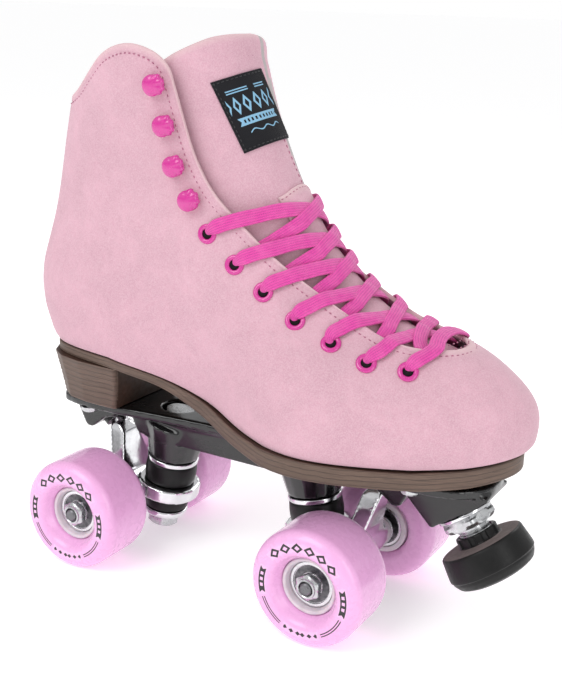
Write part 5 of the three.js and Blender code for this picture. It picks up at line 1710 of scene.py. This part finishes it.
class SKATE_OT_toe_stop(SkateOperator, bpy.types.Operator):
    """Make the toe stop: rubber pad, threaded stem, hexagonal nut and washer"""
    bl_idname = "skate.toe_stop"
    bl_label = "Toe stop"

    def execute(self, context):
        axis = np.array([math.sin(STOP_LEAN), 0, -math.cos(STOP_LEAN)])
        seat, start = STOP_SEAT, STOP_SEAT + axis * 11
        r = PAD_RADIUS
        profile = [(0, 2.1), (8.2, 2.1), (8.2, 0), (10.3, 0), (10.3, 4.2), (11.2, 5), (r - 3.4, 5),
                   (r - 1.3, 5.6), (r - .35, 12.4), (r - .05, 15.3), (r - .05, 16.6), (r - .6, 17.0),
                   (r - .9, 18.4), (r - 2.6, 21.2), (r - 6, 22.6), (r - 11, 23), (0, 23)]

        def flutes(radius, height, angle):
            neck = (height > .2) & (height < 4.4) & (radius > 8.6)
            return radius - np.where(neck, .75 * (np.sin(angle * 10) > .35), 0)

        pad = turned("toe_stop_pad_rubber", softened(profile, .9, 4, closed=False), start, axis,
                     [finish("rubber"), finish("dusty rubber")], 160, closed=False, shape=flutes)
        second_material(pad, start, axis, lambda radius, height: 4.6 < height < 5.45 and radius > 10.8)
        crease(pad, 40)
        hold(pad, "toe_stop", "stop_rubber", "toe_stop_pad")
        line = [(0, -12.5), (6.6, -12.5), (7.4, -11.6), (7.4, 12.7), (0, 12.7)]
        zinc = finish("zinc")
        stem = turned("toe_stop_stem_rod", softened(line, .3, 3, closed=False), seat, axis, [zinc],
                      closed=False)
        wound = screw_thread("toe_stop_thread", seat - axis * 10.8, axis, 7.35, 1.75, 22.5, .55, zinc)
        hold(joined("toe_stop_stem_threaded", [stem, wound]), "toe_stop", "zinc", "toe_stop_stem")
        nut = hex_nut("toe_stop_nut_turned", seat + axis * 2.1, axis, 25, 5, 8.2)
        hold(nut, "skate", "zinc", "toe_stop_nut")
        flat = softened([(8.2, .3), (13.4, .3), (13.4, 1.8), (8.2, 1.8)], .3, 4)
        washer = turned("toe_stop_washer_turned", flat, seat, axis, [finish("chrome")])
        hold(crease(washer, 40), "skate", "zinc", "toe_stop_washer")
        return {"FINISHED"}


# ---- Trucks and wheels --------------------------------------------------------------------------
PIN_LEAN = math.radians(10)
RING = np.array([-22.6, 0, 32.5])  # the middle of a hanger's ring, from its axle
RING_HALF = 4.05
CUSHION_RADIUS = 13.3
AXLE_REACH = 54.6
WHEEL_HALF = 16.8
TREAD_SHOULDER = 6.1


class SKATE_OT_trucks(SkateOperator, bpy.types.Operator):
    """Make both trucks: cast hangers, kingpins, cushions, retainers, axles and nuts"""
    bl_idname = "skate.trucks"
    bl_label = "Trucks"

    def execute(self, context):
        pitch = context.scene.skate_rolling.thread_pitch * 1000
        for end, turn in (("front", 1), ("rear", -1)):
            hanger = cast_copy(f"hanger_{end}_cast", f"hanger_{end}", .0007, 14, finish("chrome"))
            hold(hanger, f"{end}_truck", "chrome", f"hanger_{end}")
            self.stack(end, turn)
            wear(f"pivot_cup_{end}", finish("rubber"))
            self.axle(end, turn, pitch)
        return {"FINISHED"}

    def stack(self, end, turn):
        """The kingpin and all that it clamps; the rear truck is the front one turned round."""
        spin = np.array([turn, turn, 1.0])
        pin = np.array([-math.sin(PIN_LEAN), 0, math.cos(PIN_LEAN)])
        up = pin * spin

        def on_pin(height):
            return (RING + pin * height + np.array([HALF_BASE, 0, 0])) * spin

        for name, radius, low, high, bulge, kind, slot, soft in (
            ("upper_cushion", CUSHION_RADIUS, RING_HALF, RING_HALF + 11.5, .5, "rubber",
             "cushion_rubber", 1.4),
            ("lower_cushion", CUSHION_RADIUS - 1.5, -RING_HALF - 7.5, -RING_HALF, .4, "rubber",
             "cushion_rubber", 1.4),
            ("upper_retainer", CUSHION_RADIUS + .4, 15.85, 18.35, 0, "chrome", "chrome", .6),
            ("lower_retainer", CUSHION_RADIUS - 1, -15.35, -11.85, 0, "chrome", "chrome", 1.1),
        ):
            tall = high - low
            waist = [(radius + bulge, tall * .5)] if bulge else []
            corners = softened([(5.1, 0), (radius, 0), *waist, (radius, tall), (5.1, tall)], soft, 5)
            piece = turned(f"{name}_{end}_turned", corners, on_pin(low), up, [finish(kind)])
            hold(piece, "skate", slot, f"{name}_{end}")
        nut = hex_nut(f"kingpin_nut_{end}_turned", on_pin(-22.15), up, 16, 6.5, 5.1)
        hold(nut, "skate", "zinc", f"kingpin_nut_{end}")
        low, zinc = -23.65, finish("zinc")
        line = [(0, 0), (3.9, 0), (4.5, .6), (4.5, 8.5), (4.8, 9.0), (4.8, 63.3), (0, 63.3)]
        rod = turned(f"kingpin_rod_{end}", softened(line, .2, 3, closed=False), on_pin(low), up, [zinc], 64,
                     closed=False)
        wound = screw_thread(f"kingpin_thread_{end}", on_pin(low + .7), up, 4.42, 1.25, 7.6, .36, zinc)
        head = turned(f"kingpin_head_{end}", [(0, 0), (7.3, 0), (8.5, .9), (8.5, 4.1), (7.3, 5), (0, 5)],
                      on_pin(39.65), up, [zinc], closed=False, shape=hexagonal(15))
        whole = joined(f"kingpin_{end}_turned", [rod, wound, crease(head, 28)])
        hold(whole, "skate", "zinc", f"kingpin_{end}")

    def axle(self, end, turn, pitch):
        """A plain rod with a thread at both ends."""
        steel = finish("axle steel")
        middle = np.array([HALF_BASE * turn, 0, AXLE_HEIGHT])
        half_line = [(0, 0), (2.2, 0), (3.0, .8), (3.0, 12.6), (3.18, 13)]
        line = half_line + [(radius, 2 * AXLE_REACH - height) for radius, height in half_line[::-1]]
        pieces = [turned(f"axle_rod_{end}", softened(line, .15, 3, closed=False),
                         middle - np.array([0, AXLE_REACH, 0]), (0, 1, 0), [steel], 64, closed=False)]
        for sign in SIDES:
            base = middle + np.array([0, sign * (AXLE_REACH - .6), 0])
            pieces.append(screw_thread(f"axle_thread_{end}", base, (0, -sign, 0), 2.92, pitch, 11, .3,
                                       steel))
        hold(joined(f"axle_{end}_turned", pieces), f"{end}_truck", "zinc", f"axle_{end}")


class SKATE_OT_wheels(SkateOperator, bpy.types.Operator):
    """Make four wheels: cast tyre with its print, hub, shielded bearings and axle nut"""
    bl_idname = "skate.wheels"
    bl_label = "Wheels"

    def execute(self, context):
        half = WHEEL_HALF
        centre = context.scene.skate_rolling.wheel_radius * 1000 - TREAD_SHOULDER
        angles = np.linspace(0, math.pi / 2, 14)
        bend = TREAD_SHOULDER * np.stack([np.cos(angles), np.sin(angles)], 1)
        far = np.array([centre, half - TREAD_SHOULDER]) + bend
        near = np.array([centre, TREAD_SHOULDER - half]) + (bend * (1, -1))[::-1]
        profile = [(14.3, -half + 4), (15.2, -half + 1.6), (17.5, -half + .25), (20.5, -half + .02),
                   *near, *far, (21.4, half), (19.4, half - .04), (18.2, half - .45), (17.0, half - 1.35),
                   (15.9, half - 3.0), (15.0, half - 4.8), (14.3, half - 5.6)]
        ring = softened([(11.3, -15.5), (14.0, -15.5), (14.0, half - 6.6), (13.4, half - 6.0),
                         (12.2, half - 6.4), (11.5, 8.6), (11.3, 8.2), (11.3, .7), (9.5, .7), (9.5, -7.7),
                         (11.3, -7.7)], .35, 3)
        for end in ("front", "rear"):
            for side, out in (("right", -1), ("left", 1)):
                tag = f"{end}_{side}"
                middle = node_middle(f"tyre_{tag}") - TO_FRAME
                axis = np.array([0, out, 0.0])
                tyre = turned(f"tyre_{tag}_cast", profile, middle, axis, [finish("urethane")], 128)
                self.dial(tyre.data, middle, out)
                hold(tyre, f"wheel_{tag}", "urethane", f"tyre_{tag}")
                hub = turned(f"hub_{tag}_moulded", ring, middle, axis, [finish("hub")])
                hold(crease(hub, 40), f"wheel_{tag}", "hub_nylon", f"hub_{tag}")
                self.bearing("outer", tag, middle, axis, 8.0)
                self.bearing("inner", tag, middle, axis, -8.0)
                nut = hex_nut(f"axle_nut_{tag}_turned", middle + axis * 8.3, axis, 11.5, 4.2, 3.5, True)
                hold(nut, f"{end}_truck", "zinc", f"axle_nut_{tag}")
        return {"FINISHED"}

    def dial(self, mesh, middle, out):
        """Stores where each point lies on the wheel's outer face, for its print."""
        x, y, z = (coordinates(mesh) * 1000 - TO_FRAME - middle).T
        store(mesh, "dial", np.stack([-x * out, z, y * out > WHEEL_HALF - 3], 1))

    def bearing(self, name, tag, middle, axis, face):
        """Races with a shield let in on both faces."""
        low = face - 7
        race = softened([(9.4, low + .25), (9.6, low), (11, low), (11, face), (9.6, face),
                         (9.4, face - .25), (9.4, face - .7), (5.6, face - .7), (5.6, face - .2),
                         (5.4, face), (3.5, face), (3.5, low), (5.4, low), (5.6, low + .2),
                         (5.6, low + .7), (9.4, low + .7)], .18, 3)
        piece = turned(f"{name}_bearing_{tag}_shielded", race, middle, axis,
                       [finish("bearing steel"), finish("shield")])
        second_material(piece, middle, axis, lambda radius, height: 5.75 < radius < 9.25)
        hold(crease(piece, 40), f"wheel_{tag}", "bearing_steel", f"{name}_bearing_{tag}")


# ---- Panel and registration ---------------------------------------------------------------------
OPERATORS = (SKATE_OT_stage, SKATE_OT_upper, SKATE_OT_back_stay, SKATE_OT_lining, SKATE_OT_tongue,
             SKATE_OT_label, SKATE_OT_eyelets, SKATE_OT_hooks, SKATE_OT_lace, SKATE_OT_sole, SKATE_OT_plate,
             SKATE_OT_toe_stop, SKATE_OT_trucks, SKATE_OT_wheels)
SETTINGS = {"skate_boot": BootSettings, "skate_lacing": LacingSettings, "skate_rolling": RollingSettings,
            "skate_stage": StageSettings}


class SKATE_PT_panel(bpy.types.Panel):
    """Lists the pieces of the skate and what may be changed"""
    bl_label = "Quad roller skate"
    bl_idname = "SKATE_PT_panel"
    bl_space_type = "VIEW_3D"
    bl_region_type = "UI"
    bl_category = "Skate"

    def draw(self, context):
        layout = self.layout
        for name in SETTINGS:
            group = getattr(context.scene, name)
            box = layout.box()
            for key in group.bl_rna.properties.keys():
                if key not in ("rna_type", "name"):
                    box.prop(group, key)
        for operator in OPERATORS:
            layout.operator(operator.bl_idname)


def register():
    for name, group in SETTINGS.items():
        bpy.utils.register_class(group)
        setattr(bpy.types.Scene, name, bpy.props.PointerProperty(type=group))
    for cls in (*OPERATORS, SKATE_PT_panel):
        bpy.utils.register_class(cls)


def unregister():
    for cls in reversed((*OPERATORS, SKATE_PT_panel)):
        bpy.utils.unregister_class(cls)
    for name, group in SETTINGS.items():
        delattr(bpy.types.Scene, name)
        bpy.utils.unregister_class(group)


def main():
    register()
    for operator in OPERATORS:
        group, name = operator.bl_idname.split(".")
        getattr(getattr(bpy.ops, group), name)()


if __name__ == "__main__":
    main()
